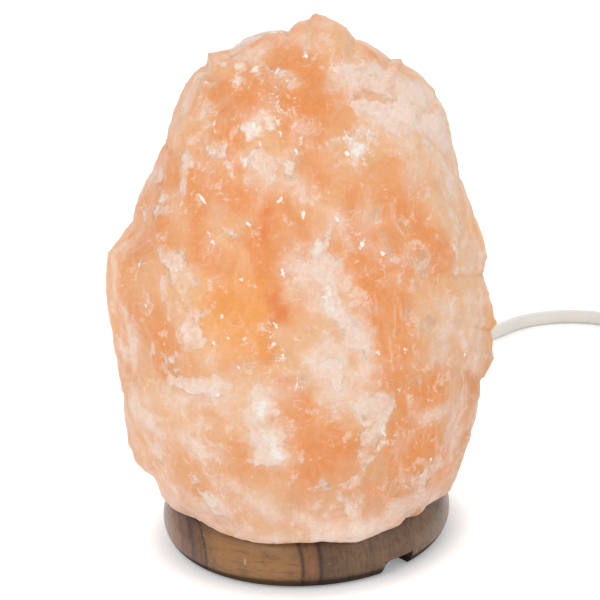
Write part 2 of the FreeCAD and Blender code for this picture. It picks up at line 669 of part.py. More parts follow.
def holder_body():
    socket_radius = THREAD_CREST_RADIUS + THREAD_GAP + SHELL_WALL + FIT_GAP
    body = rod(HOLDER_RADIUS, V(0, 0, HOLDER_BOTTOM), V(0, 0, HOLDER_TOP))
    body = body.cut(rod(HOLDER_CHAMBER_RADIUS, V(0, 0, HOLDER_BOTTOM - CUT_PAST), V(0, 0, PARTITION_BOTTOM)))
    body = body.cut(rod(socket_radius, V(0, 0, PARTITION_TOP), V(0, 0, HOLDER_TOP + CUT_PAST)))
    body = body.cut(rod(RIVET_RADIUS + FIT_GAP, V(0, 0, PARTITION_BOTTOM - CUT_PAST),
                        V(0, 0, PARTITION_TOP + CUT_PAST)))
    for x, top in terminals():
        body = body.cut(rod(TERMINAL_RADIUS + FIT_GAP / 2,
                            V(x, 0, PARTITION_BOTTOM - CUT_PAST), V(x, 0, top)))
    for azimuth in HOLDER_SCREW_AZIMUTHS:
        body = body.cut(holder_screw(azimuth, FIT_GAP / 2))
    return body


def terminals():
    """Where each terminal screw stands and how high it reaches: one meets the shell, one stays short."""
    return ((-TERMINAL_OFFSET, PARTITION_TOP), (TERMINAL_OFFSET, PARTITION_TOP - HOLDER_PARTITION / 3))


def terminal_screws():
    screws = []
    for x, top in terminals():
        under = PARTITION_BOTTOM - (CONTACT_THICKNESS if x > 0 else 0.0)
        head = rod(TERMINAL_HEAD_RADIUS, V(x, 0, under - TERMINAL_HEAD_HEIGHT), V(x, 0, under))
        screws.append(head.fuse(rod(TERMINAL_RADIUS, V(x, 0, under), V(x, 0, top))))
    return Part.makeCompound(screws)


def centre_contact():
    """A riveted strip: a sprung button above the partition and a tab below it."""
    half = CONTACT_TAB_WIDTH / 2
    tab = box(V(-half, -half, PARTITION_BOTTOM - CONTACT_THICKNESS),
              V(HOLDER_CHAMBER_RADIUS - CONTACT_TAB_GAP, half, PARTITION_BOTTOM))
    tab = tab.cut(rod(TERMINAL_RADIUS + FIT_GAP / 2,
                      V(TERMINAL_OFFSET, 0, PARTITION_BOTTOM - CONTACT_THICKNESS - CUT_PAST),
                      V(TERMINAL_OFFSET, 0, PARTITION_BOTTOM + CUT_PAST)))
    rivet = rod(RIVET_RADIUS, V(0, 0, PARTITION_BOTTOM - CONTACT_THICKNESS / 2), V(0, 0, CONTACT_TOP))
    washer = rod(CONTACT_RADIUS, V(0, 0, PARTITION_TOP), V(0, 0, PARTITION_TOP + CONTACT_THICKNESS))
    button = rod(CONTACT_RADIUS, V(0, 0, CONTACT_TOP - CONTACT_THICKNESS), V(0, 0, CONTACT_TOP))
    return tab.fuse([rivet, washer, button])


def screw_shell():
    """The thin threaded sleeve, with the ring that it stands on."""
    inner = THREAD_CREST_RADIUS + THREAD_GAP
    outer = inner + SHELL_WALL
    bottom, flange = PARTITION_TOP, PARTITION_TOP + SHELL_WALL
    top = HOLDER_TOP - FIT_GAP
    ring_hole = CONTACT_RADIUS + CONTACT_SIDE_GAP
    thread_top = BULB_THREAD_Z + THREAD_PITCH * THREAD_COUNT
    low_in, high_in = V(inner - THREAD_DEPTH, 0, BULB_THREAD_Z), V(inner - THREAD_DEPTH, 0, thread_top)
    low_out, high_out = V(outer - THREAD_DEPTH, 0, BULB_THREAD_Z), V(outer - THREAD_DEPTH, 0, thread_top)
    edges = [line(V(ring_hole, 0, bottom), V(outer, 0, bottom)),
             line(V(outer, 0, bottom), V(outer, 0, flange)), line(V(outer, 0, flange), low_out)]
    edges += thread_edges(outer, THREAD_DEPTH, BULB_THREAD_Z)
    edges += [line(high_out, V(outer, 0, top)), line(V(outer, 0, top), V(inner, 0, top)),
              line(V(inner, 0, top), high_in)]
    edges += thread_edges(inner, THREAD_DEPTH, BULB_THREAD_Z, True)
    edges += [line(low_in, V(inner, 0, flange)), line(V(inner, 0, flange), V(ring_hole, 0, flange)),
              line(V(ring_hole, 0, flange), V(ring_hole, 0, bottom))]
    return turned_edges(edges)


def holder_wires():
    """The cord's two insulated cores, from the strain relief to the terminal screws."""
    start = CAP_BOTTOM + HOLDER_CAP_FLOOR + RELIEF_FLANGE_LENGTH
    cores = []
    for x, _ in terminals():
        side = math.copysign(1.0, x)
        under = PARTITION_BOTTOM - TERMINAL_HEAD_HEIGHT - (CONTACT_THICKNESS if x > 0 else 0.0)
        points = [V(side * WIRE_SPREAD, 0, start), V(side * WIRE_SPREAD, 0, start + WIRE_LEAD),
                  V(x, 0, under - WIRE_LEAD), V(x, 0, under)]
        cores.append(tube(rounded_route(points, "holder core"), WIRE_RADIUS))
    return Part.makeCompound(cores)


def spring_clip():
    """A sprung strap clamped under the holder, with two wings that grip the bore."""
    half_width = CLIP_WIDTH / 2
    widest = math.sqrt((BORE_RADIUS - CLIP_WALL_GAP) ** 2 - half_width ** 2)
    low = CAP_TOP
    outer = [(CLIP_SHOULDER, 0.0), (widest, CLIP_BEND_HEIGHT), (widest - CLIP_TOP_INSET, CLIP_TOP_HEIGHT)]
    inner = [(x - CLIP_THICKNESS, max(z, CLIP_THICKNESS)) for x, z in reversed(outer)]
    right = outer + inner
    left = [(-x, z) for x, z in reversed(right)]
    corners = [V(x, -half_width, low + z) for x, z in right + left]
    strap = Part.Face(Part.makePolygon(corners + corners[:1])).extrude(V(0, CLIP_WIDTH, 0))
    plate = rod(HOLDER_RADIUS, V(0, 0, low), V(0, 0, low + CLIP_THICKNESS))
    clip = strap.fuse(plate)
    clip = clip.cut(rod(HOLDER_CHAMBER_RADIUS, V(0, 0, low - CUT_PAST),
                        V(0, 0, low + CLIP_THICKNESS + CUT_PAST)))
    for azimuth in HOLDER_SCREW_AZIMUTHS:
        clip = clip.cut(holder_screw(azimuth, FIT_GAP))
    return clip


# ---------------------------------------------------------------- bulb
def glass_profile(inset):
    """Half outline of the bulb's glass: neck, swelling, straight side and round end."""
    neck = BULB_NECK_RADIUS - inset
    full = BULB_RADIUS - inset
    low = BULB_THREAD_TOP + inset
    neck_top = BULB_THREAD_TOP + BULB_NECK_LENGTH
    wide = neck_top + BULB_NECK_RISE
    straight = BULB_TOP - BULB_RADIUS
    top = V(0, 0, BULB_TOP - inset)
    bend = V(full * math.sqrt(0.5), 0, straight + full * math.sqrt(0.5))
    return [line(V(0, 0, low), V(neck, 0, low)), line(V(neck, 0, low), V(neck, 0, neck_top)),
            line(V(neck, 0, neck_top), V(full, 0, wide)), line(V(full, 0, wide), V(full, 0, straight)),
            Part.Arc(V(full, 0, straight), bend, top).toShape(), line(top, V(0, 0, low))]


def bulb_glass():
    return turned_edges(glass_profile(0.0)).cut(turned_edges(glass_profile(BULB_GLASS_WALL)))


def bulb_cap():
    """The threaded brass cap, closed below by the insulator."""
    root = THREAD_CREST_RADIUS - THREAD_DEPTH
    low, high = V(root, 0, BULB_THREAD_Z), V(root, 0, BULB_THREAD_TOP)
    inside = root - SHELL_WALL
    edges = [line(V(inside, 0, low.z), low)]
    edges += thread_edges(THREAD_CREST_RADIUS, THREAD_DEPTH, BULB_THREAD_Z)
    edges += [line(high, V(inside, 0, high.z)), line(V(inside, 0, high.z), V(inside, 0, low.z))]
    return turned_edges(edges)


def bulb_insulator():
    root = THREAD_CREST_RADIUS - THREAD_DEPTH
    narrow = BULB_TIP_RADIUS + BULB_INSULATOR_STEP
    return cone(narrow, root, V(0, 0, BULB_INSULATOR_Z), V(0, 0, BULB_THREAD_Z))


def bulb_tip():
    return cone(BULB_TIP_END_RADIUS, BULB_TIP_RADIUS, V(0, 0, BULB_TIP_Z), V(0, 0, BULB_INSULATOR_Z))


def bulb_stem():
    """The glass mount that carries the lead wires."""
    low = BULB_THREAD_TOP + BULB_GLASS_WALL
    high = low + BULB_STEM_HEIGHT
    foot_radius = BULB_NECK_RADIUS - BULB_GLASS_WALL - FIT_GAP
    return turned([(0, low), (foot_radius, low), (BULB_STEM_RADIUS, low + BULB_STEM_FLARE),
                   (BULB_STEM_RADIUS, high), (0, high)])


def lead_points(side):
    low = BULB_THREAD_TOP + BULB_GLASS_WALL + BULB_STEM_HEIGHT
    top = BULB_THREAD_TOP + BULB_LEAD_HEIGHT
    near = side * BULB_STEM_RADIUS / 2
    return [V(near, 0, low), V(near, 0, low + BULB_LEAD_STRAIGHT),
            V(side * BULB_LEAD_SPREAD, 0, top - BULB_LEAD_STRAIGHT), V(side * BULB_LEAD_SPREAD, 0, top)]


def bulb_leads():
    wires = [tube(rounded_route(lead_points(side), "bulb lead"), BULB_LEAD_RADIUS) for side in (-1.0, 1.0)]
    return Part.makeCompound(wires)


def bulb_filament():
    """The filament, from the tip of one lead wire to the other, as one low arch."""
    top = BULB_THREAD_TOP + BULB_LEAD_HEIGHT + FILAMENT_RADIUS
    arc = Part.Arc(V(-BULB_LEAD_SPREAD, 0, top), V(0, 0, top + FILAMENT_SAG), V(BULB_LEAD_SPREAD, 0, top))
    return tube(Part.Wire(arc.toShape()), FILAMENT_RADIUS)


# ---------------------------------------------------------------- dimmer
def at_dimmer(shape):
    return moved(shape, V(DIMMER_X, DIMMER_Y, 0))


def dimmer_case(outer):
    if outer:
        return rounded_block(DIMMER_LENGTH, DIMMER_WIDTH, DIMMER_HEIGHT, DIMMER_CORNER, DIMMER_EDGE)
    hollow = rounded_block(DIMMER_LENGTH - 2 * DIMMER_WALL, DIMMER_WIDTH - 2 * DIMMER_WALL,
                           DIMMER_HEIGHT - 2 * DIMMER_WALL, DIMMER_CORNER - DIMMER_WALL, DIMMER_EDGE / 2)
    return moved(hollow, V(0, 0, DIMMER_WALL))


def dimmer_half(low, high):
    """The part of the hollow case between two heights, with its cord holes and screw posts."""
    slab = box(V(-DIMMER_WIDTH, -DIMMER_LENGTH, low), V(DIMMER_WIDTH, DIMMER_LENGTH, high))
    half = dimmer_case(True).cut(dimmer_case(False)).common(slab)
    posts = [rod(POST_RADIUS, V(x, y, 0), V(x, y, DIMMER_HEIGHT)).common(dimmer_case(True)).common(slab)
             for x, y in post_places()]
    half = half.fuse(posts)
    hole = rod(RELIEF_NECK_RADIUS + FIT_GAP, V(0, -DIMMER_LENGTH, DIMMER_SPLIT_HEIGHT),
               V(0, DIMMER_LENGTH, DIMMER_SPLIT_HEIGHT))
    half = half.cut(hole)
    for x, y in post_places():
        half = half.cut(dimmer_screw(x, y, FIT_GAP))
    return half


def post_places():
    return ((-POST_X, -POST_Y), (POST_X, POST_Y))


def dimmer_screw(x, y, gap=0.0):
    head = DIMMER_SCREW_SINK
    neck = head + DIMMER_SCREW_HEAD_HEIGHT
    low = -CUT_PAST if gap else head
    screw = rod(DIMMER_SCREW_HEAD_RADIUS + gap, V(x, y, low), V(x, y, neck))
    tip = neck + DIMMER_SCREW_LENGTH + gap
    return screw.fuse(rod(DIMMER_SCREW_RADIUS + gap, V(x, y, neck), V(x, y, tip)))


def dimmer_lower_shell():
    shell = dimmer_half(0.0, DIMMER_SPLIT_HEIGHT)
    for side in (-1, 1):
        place = V(side * PILLAR_X, -side * PILLAR_Y, 0)
        shell = shell.fuse(rod(PILLAR_RADIUS, place + V(0, 0, DIMMER_WALL), place + V(0, 0, BOARD_HEIGHT)))
    return at_dimmer(shell)


def dimmer_upper_shell():
    shell = dimmer_half(DIMMER_SPLIT_HEIGHT, DIMMER_HEIGHT)
    hole = rod(BUSHING_RADIUS + FIT_GAP, V(0, 0, DIMMER_SPLIT_HEIGHT), V(0, 0, DIMMER_HEIGHT + CUT_PAST))
    return at_dimmer(shell.cut(hole))


def circuit_board():
    low = BOARD_HEIGHT
    board = box(V(-BOARD_WIDTH / 2, -BOARD_LENGTH / 2, low),
                V(BOARD_WIDTH / 2, BOARD_LENGTH / 2, low + BOARD_THICKNESS))
    return at_dimmer(board)


def on_board(size, side):
    """A block on the board beside the potentiometer, towards the back (1) or the front (-1)."""
    width, length, height = size
    y = side * (POT_SIDE / 2 + COMPONENT_GAP + length / 2)
    top = BOARD_HEIGHT + BOARD_THICKNESS
    return at_dimmer(box(V(-width / 2, y - length / 2, top), V(width / 2, y + length / 2, top + height)))


def triac():
    return on_board(TRIAC_SIZE, 1.0)


def capacitor():
    return on_board(CAPACITOR_SIZE, -1.0)


def potentiometer():
    top = BOARD_HEIGHT + BOARD_THICKNESS
    body = box(V(-POT_SIDE / 2, -POT_SIDE / 2, top), V(POT_SIDE / 2, POT_SIDE / 2, top + POT_HEIGHT))
    body = body.fuse(rod(BUSHING_RADIUS, V(0, 0, top + POT_HEIGHT), V(0, 0, DIMMER_HEIGHT)))
    shaft_hole = rod(SHAFT_RADIUS + SHAFT_RUNNING_GAP, V(0, 0, top + POT_HEIGHT - SHAFT_IN_POT - FIT_GAP),
                     V(0, 0, DIMMER_HEIGHT + CUT_PAST))
    return at_dimmer(body.cut(shaft_hole))


def potentiometer_shaft():
    low = BOARD_HEIGHT + BOARD_THICKNESS + POT_HEIGHT - SHAFT_IN_POT
    high = DIMMER_HEIGHT + KNOB_GAP + KNOB_SOCKET_DEPTH
    return at_dimmer(rod(SHAFT_RADIUS, V(0, 0, low), V(0, 0, high)))


def dimmer_knob():
    """A dished knob with finger grips round it and an index groove on its top."""
    low = DIMMER_HEIGHT + KNOB_GAP
    high = low + KNOB_HEIGHT
    dish = high - KNOB_DISH_DEPTH
    knob = turned([(0, low), (KNOB_RADIUS, low), (KNOB_RADIUS, high - KNOB_EDGE),
                   (KNOB_RADIUS - KNOB_EDGE, high), (KNOB_DISH_RADIUS, dish), (0, dish)])
    for k in range(KNOB_GRIP_COUNT):
        place = polar(KNOB_RADIUS + KNOB_GRIP_RADIUS / 2, 360.0 * (k + 0.5) / KNOB_GRIP_COUNT)
        knob = knob.cut(rod(KNOB_GRIP_RADIUS, place + V(0, 0, low - CUT_PAST),
                            place + V(0, 0, high + CUT_PAST)))
    knob = knob.cut(box(V(KNOB_INDEX_START, -KNOB_INDEX_WIDTH / 2, dish - KNOB_INDEX_DEPTH),
                        V(KNOB_RADIUS + CUT_PAST, KNOB_INDEX_WIDTH / 2, high + CUT_PAST)))
    knob = knob.cut(rod(SHAFT_RADIUS + SHAFT_RUNNING_GAP, V(0, 0, low - CUT_PAST),
                        V(0, 0, low + KNOB_SOCKET_DEPTH)))
    return at_dimmer(knob)


def dimmer_wires():
    z = BOARD_HEIGHT + BOARD_THICKNESS + WIRE_RADIUS
    outer = DIMMER_LENGTH / 2 - DIMMER_WALL - RELIEF_FLANGE_LENGTH
    inner = BOARD_LENGTH / 2 - WIRE_ON_BOARD
    cores = [rod(WIRE_RADIUS, V(x, end * outer, z), V(x, end * inner, z))
             for end in (-1.0, 1.0) for x in (-WIRE_SPREAD, WIRE_SPREAD)]
    return at_dimmer(Part.makeCompound(cores))


def dimmer_reliefs():
    z = DIMMER_SPLIT_HEIGHT
    back = relief_at(V(DIMMER_X, DIMMER_BACK, z), V(0, -1, 0), DIMMER_RELIEF_LENGTH, DIMMER_WALL)
    front = relief_at(V(DIMMER_X, DIMMER_FRONT, z), V(0, 1, 0), DIMMER_RELIEF_LENGTH, DIMMER_WALL)
    return Part.makeCompound([back, front])


# ---------------------------------------------------------------- plug, along +X from the tip of its relief
def at_plug(shape):
    return moved(shape, V(PLUG_TIP_X, PLUG_TIP_Y, 0), PLUG_AZIMUTH)


def plug_relief():
    """A tapered relief, grooved all round so that it bends."""
    root = RELIEF_ROOT_RADIUS + PLUG_RELIEF_EXTRA
    floor, past = CORD_RADIUS + RELIEF_GROOVE_FLOOR, root + CUT_PAST
    piece = turned([(0, 0), (RELIEF_TIP_RADIUS, 0), (root, PLUG_RELIEF_LENGTH), (0, PLUG_RELIEF_LENGTH)])
    for k in range(RELIEF_GROOVE_COUNT):
        low = RELIEF_GROOVE_START + RELIEF_GROOVE_PITCH * k
        high = low + RELIEF_GROOVE_WIDTH
        piece = piece.cut(turned([(floor, low), (past, low), (past, high), (floor, high)]))
    piece.Placement = FreeCAD.Placement(V(0, 0, PLUG_Z), FreeCAD.Rotation(UP, V(1, 0, 0)))
    return at_plug(piece)


def plug_blade(k):
    """One blade, with the stretch of it that is moulded in."""
    width = BLADE_WIDTHS[k]
    y = BLADE_SPACING * (k - 0.5)
    face = PLUG_RELIEF_LENGTH + PLUG_LENGTH
    blade = box(V(face - BLADE_IN_BODY, y - BLADE_THICKNESS / 2, PLUG_Z - width / 2),
                V(face + BLADE_REACH, y + BLADE_THICKNESS / 2, PLUG_Z + width / 2))
    end = [e for e in blade.Edges if e.BoundBox.YLength > BLADE_THICKNESS / 2 and e.BoundBox.XMin > face]
    blade = blade.makeFillet(BLADE_END_ROUND, end)
    x = face + BLADE_REACH - BLADE_HOLE_INSET
    return blade.cut(rod(BLADE_HOLE_RADIUS, V(x, y - BLADE_THICKNESS, PLUG_Z),
                         V(x, y + BLADE_THICKNESS, PLUG_Z)))


def plug_body():
    body = rounded_block(PLUG_LENGTH, PLUG_WIDTH, PLUG_HEIGHT, PLUG_CORNER, PLUG_EDGE)
    body = moved(body, V(PLUG_RELIEF_LENGTH + PLUG_LENGTH / 2, 0, 0), -90.0)
    for k in range(len(BLADE_WIDTHS)):
        body = body.cut(plug_blade(k))
    return at_plug(body)


def plug_blades():
    return at_plug(Part.makeCompound([plug_blade(k) for k in range(len(BLADE_WIDTHS))]))


# ---------------------------------------------------------------- the cord's stretches
def cord_lamp_side():
    """From the holder, down and into the groove, out at the back and round to the dimmer."""
    way = polar(1.0, GROOVE_AZIMUTH - ELBOW_DRIFT)
    points = [V(0, 0, HOLDER_CORD_END), V(0, 0, HOLDER_CORD_END - ELBOW_RUN),
              way * ELBOW_SHORT + V(0, 0, CORD_Z + ELBOW_SHORT),
              way * (ELBOW_SHORT + ELBOW_LONG) + V(0, 0, CORD_Z)]
    points += [V(x, y, CORD_Z) for x, y in LAMP_SIDE_ROUTE]
    points += [V(*p) for p in LAMP_SIDE_RISE]
    points.append(V(DIMMER_X, DIMMER_BACK + DIMMER_RELIEF_LENGTH, DIMMER_SPLIT_HEIGHT))
    return cord_along(points, "cord_lamp_side")


def cord_plug_side():
    """From the dimmer down to the coil."""
    start = V(DIMMER_X, DIMMER_FRONT - DIMMER_RELIEF_LENGTH, DIMMER_SPLIT_HEIGHT)
    end = coil_place(0.0) - coil_way(0.0) * (2 * CORD_RADIUS)
    return cord_along([start] + [V(*p) for p in PLUG_SIDE_SINK] + [end], "cord_plug_side")


def cord_plug_end():
    """From the coil over to the plug."""
    start = coil_place(COIL_TURNS) + coil_way(COIL_TURNS) * (2 * CORD_RADIUS)
    end = V(PLUG_TIP_X, PLUG_TIP_Y, PLUG_Z)
    before = end - polar(PLUG_END_RUN, PLUG_AZIMUTH)
    points = [start, start + V(0, PLUG_END_RUN, 0)] + [V(*p) for p in PLUG_SIDE_ROUTE] + [before, end]
    return cord_along(points, "cord_plug_end")


def cord_coil():
    path = coil_path()
    coil = tube(path, CORD_RADIUS)
    section = math.pi * CORD_RADIUS ** 2
    print("coil length", round(path.Length, 1), "volume share", round(coil.Volume / section / path.Length, 4),
          "least gap", round(coil_gap(path), 3))
    return coil


def cord_tie():
    """A flat strap round all the turns, on the front of the coil."""
    turn_share = ((TIE_AZIMUTH - 180.0) % 360.0) / 360.0
    outer_turn = COIL_OUTER_RADIUS - COIL_PITCH * turn_share
    layers = math.floor(COIL_TURNS / 2 - turn_share)
    inner_turn = outer_turn - COIL_PITCH * layers
    inner_edge = inner_turn - CORD_RADIUS
    near = math.sqrt(inner_edge ** 2 - (TIE_WIDTH / 2) ** 2) - TIE_GAP
    far = outer_turn + CORD_RADIUS + TIE_GAP
    low, high = TIE_THICKNESS, COIL_UPPER_Z + CORD_RADIUS + TIE_GAP
    t, w = TIE_THICKNESS, TIE_WIDTH / 2
    outside = box(V(near - t, -w, low - t), V(far + t, w, high + t))
    inside = box(V(near, -w - CUT_PAST, low), V(far, w + CUT_PAST, high))
    across = [e for e in outside.Edges if e.BoundBox.YLength > w]
    loop = outside.makeFillet(2.0 * t, across)
    across = [e for e in inside.Edges if e.BoundBox.YLength > w]
    loop = loop.cut(inside.makeFillet(t, across))
    return moved(loop, V(COIL_X, COIL_START_Y, 0), TIE_AZIMUTH)


# ---------------------------------------------------------------- every node of the lamp
def all_nodes():
    return {
        "salt_crystal": salt_crystal(),
        "wood_base": wood_base(),
        "rubber_feet": Part.makeCompound([foot(a) for a in foot_azimuths()]),
        "base_screws": Part.makeCompound([base_screw(a) for a in screw_azimuths()]),
        "wall_plugs": Part.makeCompound([wall_plug(a) for a in screw_azimuths()]),
        "holder_cap": holder_cap(),
        "holder_body": holder_body(),
        "holder_screws": Part.makeCompound([holder_screw(a) for a in HOLDER_SCREW_AZIMUTHS]),
        "holder_wires": holder_wires(),
        "holder_relief": relief_at(V(0, 0, CAP_BOTTOM), UP, HOLDER_RELIEF_LENGTH, HOLDER_CAP_FLOOR),
        "spring_clip": spring_clip(),
        "screw_shell": screw_shell(),
        "centre_contact": centre_contact(),
        "terminal_screws": terminal_screws(),
        "bulb_glass": bulb_glass(),
        "bulb_cap": bulb_cap(),
        "bulb_insulator": bulb_insulator(),
        "bulb_tip": bulb_tip(),
        "bulb_stem": bulb_stem(),
        "bulb_leads": bulb_leads(),
        "bulb_filament": bulb_filament(),
        "dimmer_lower_shell": dimmer_lower_shell(),
        "dimmer_upper_shell": dimmer_upper_shell(),
        "dimmer_knob": dimmer_knob(),
        "potentiometer": potentiometer(),
        "potentiometer_shaft": potentiometer_shaft(),
        "circuit_board": circuit_board(),
        "triac": triac(),
        "capacitor": capacitor(),
        "dimmer_wires": dimmer_wires(),
        "dimmer_screws": at_dimmer(Part.makeCompound([dimmer_screw(x, y) for x, y in post_places()])),
        "dimmer_reliefs": dimmer_reliefs(),
        "plug_body": plug_body(),
        "plug_blades": plug_blades(),
        "plug_relief": plug_relief(),
        "cord_lamp_side": cord_lamp_side(),
        "cord_plug_side": cord_plug_side(),
        "cord_coil": cord_coil(),
        "cord_plug_end": cord_plug_end(),
        "cord_tie": cord_tie(),
    }


os.makedirs("parts", exist_ok=True)
for name, shape in all_nodes().items():
    solids = shape.Solids
    assert solids and shape.isValid(), name
    shape.exportStep(os.path.join("parts", name + ".step"))
    print(name, len(solids), "solids", round(sum(s.Volume for s in solids) / 1000.0, 2), "cm3")
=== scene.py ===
"""Salt crystal lamp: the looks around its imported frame.

Metres, in the frame's own axes: +Z up, -Y towards the room, the wooden base's axis at the origin.
"""

import math
import random

import bmesh
import bpy
import numpy as np
from bpy.props import FloatProperty, FloatVectorProperty, IntProperty, PointerProperty
from mathutils import Matrix, Vector, noise
from mathutils.bvhtree import BVHTree


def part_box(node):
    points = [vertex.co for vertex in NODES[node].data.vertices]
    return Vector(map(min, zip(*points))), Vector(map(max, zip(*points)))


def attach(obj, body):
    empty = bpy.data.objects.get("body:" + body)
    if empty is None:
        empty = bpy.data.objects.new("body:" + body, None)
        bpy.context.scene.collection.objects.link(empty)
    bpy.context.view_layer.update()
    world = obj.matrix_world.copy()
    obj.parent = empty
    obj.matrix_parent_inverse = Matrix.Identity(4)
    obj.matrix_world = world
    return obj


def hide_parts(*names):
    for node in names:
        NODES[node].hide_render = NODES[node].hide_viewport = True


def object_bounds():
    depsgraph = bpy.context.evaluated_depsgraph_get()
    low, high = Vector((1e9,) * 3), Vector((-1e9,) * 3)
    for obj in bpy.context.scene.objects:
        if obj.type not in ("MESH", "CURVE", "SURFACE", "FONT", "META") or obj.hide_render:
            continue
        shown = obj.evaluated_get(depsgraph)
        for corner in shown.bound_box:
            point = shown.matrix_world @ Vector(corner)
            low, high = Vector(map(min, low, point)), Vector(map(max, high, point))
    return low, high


bl_info = {
    "name": "Salt crystal lamp",
    "version": (1, 0, 0),
    "blender": (4, 5, 0),
    "location": "3D View > Sidebar > Salt lamp",
    "description": "Builds the finishes of a salt crystal lamp around its packed frame",
    "category": "Add Mesh",
}

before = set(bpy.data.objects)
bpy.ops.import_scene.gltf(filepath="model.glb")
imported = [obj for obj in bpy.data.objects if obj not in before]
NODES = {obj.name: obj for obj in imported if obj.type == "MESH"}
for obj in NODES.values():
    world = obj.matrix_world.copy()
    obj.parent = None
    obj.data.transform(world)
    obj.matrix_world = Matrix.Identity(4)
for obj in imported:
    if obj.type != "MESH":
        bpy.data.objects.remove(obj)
CAD_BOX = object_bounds()
MM = 0.001

CORD_BODY = "holder_and_cord"
CRYSTAL_BODY = "crystal_on_base"
BULB_BODY = "bulb"
KNOB_BODY = "knob"

BASE_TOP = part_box("wood_base")[1].z
BORE_TOP = 0.1341           # closed end of the bore in the crystal
INNER_RADIUS = 0.045        # below it, the crystal's outside stays farther from the axis than this


def tint(red, green, blue):
    """A colour given as 0 to 255 on the screen, as Blender's linear red, green, blue."""
    steps = [c / 255.0 for c in (red, green, blue)]
    return tuple(s / 12.92 if s <= 0.04045 else ((s + 0.055) / 1.055) ** 2.4 for s in steps)


def opaque(colour):
    return (*tuple(colour)[:3], 1.0)


# ---------------------------------------------------------------- what a user may change
def colour_property(name, description, default):
    return FloatVectorProperty(name=name, description=description, subtype="COLOR", size=3,
                               min=0.0, max=1.0, default=tint(*default))


def length_property(name, description, default):
    return FloatProperty(name=name, description=description, default=default, unit="LENGTH", min=0.0)


class StageSettings(bpy.types.PropertyGroup):
    distance: length_property("Distance", "From the camera to the middle of the view", 1.0)
    elevation: FloatProperty(name="Elevation", description="How far the camera looks down", unit="ROTATION",
                             default=math.radians(20.97))
    roll: FloatProperty(name="Roll", description="How far the camera leans to its right", unit="ROTATION",
                        default=math.radians(2.82))
    lens: FloatProperty(name="Lens", description="Focal length on a 36 mm sensor", default=153.81, min=1.0)
    daylight: FloatProperty(name="Daylight", description="Strength of the even light from all round",
                            default=0.62, min=0.0)
    softboxes: FloatProperty(name="Softboxes", description="Strength of the large lamps",
                             default=1.0, min=0.0)
    backdrop: colour_property("Backdrop", "Floor and background", (255, 255, 255))


class CrystalSettings(bpy.types.PropertyGroup):
    grain: length_property("Grain", "Distance between the points of the crystal's mesh", 0.00135)
    chip_count: IntProperty(name="Hewn faces", description="How many flat faces are hewn off", default=110)
    chip_depth: length_property("Hewing depth", "How deep they go", 0.0010)
    peach: colour_property("Peach", "Ordinary salt", (243, 193, 148))
    orange: colour_property("Orange", "Salt with more iron", (238, 151, 82))
    rust: colour_property("Rust", "The strongest iron stains", (232, 122, 56))
    # Painted light: the bulb's glow through the salt, laid on as colour and as light of its own
    painted_bulb_glow: colour_property("Amber", "Clear salt in front of the bulb", (242, 165, 86))
    # Also paints the paler rim along the crystal's outline, where light shows through its edges
    pale: colour_property("Pale", "Clouded salt", (249, 224, 208))
    # Also the colour of the painted glints and highlights
    white: colour_property("White", "Freshly broken salt", (255, 246, 238))
    grey: colour_property("Grey", "Clear salt that shows its depth", (206, 174, 148))
    # Painted shade: the lower part of the crystal made darker, where less light reaches it
    lower_painted_shade: colour_property("Lower salt", "The part below the bulb, which it lights least", (228, 182, 148))
    # Painted shade: the salt low on the right-hand side made duller and darker
    tan: colour_property("Right-hand salt", "Duller salt low on the right-hand side", (216, 150, 98))
    # Strength of the painted light the salt gives off: the bulb's glow and the glints
    glow: FloatProperty(name="Glow", description="How strongly the bulb shines through",
                        default=0.05, min=0.0)


class WoodSettings(bpy.types.PropertyGroup):
    light: colour_property("Golden wood", "The widest band", (159, 114, 69))
    warm: colour_property("Reddish wood", "On both sides of it", (141, 96, 63))
    grey: colour_property("Grey-brown wood", "The right-hand side", (126, 96, 69))
    # Also the colour of the painted shade under the crystal, in the cord's groove and along the lower edge
    dark: colour_property("Year rings", "Also the grain's fibres", (56, 38, 29))
    scratch: colour_property("Scratches", "Bare wood under the wax", (196, 176, 146))


class CordSettings(bpy.types.PropertyGroup):
    diameter: length_property("Diameter", "Of the round mains cord", 0.0062)
    ivory: colour_property("Cord", "White plastic that has yellowed a little", (244, 240, 232))


class FittingSettings(bpy.types.PropertyGroup):
    white: colour_property("White plastic", "Dimmer, plug and strain reliefs", (235, 231, 223))
    black: colour_property("Black plastic", "Lamp holder", (30, 29, 28))
    brass: colour_property("Brass", "Threads, contacts and blades", (196, 158, 92))
    steel: colour_property("Steel", "Screws and spring clip", (178, 180, 182))


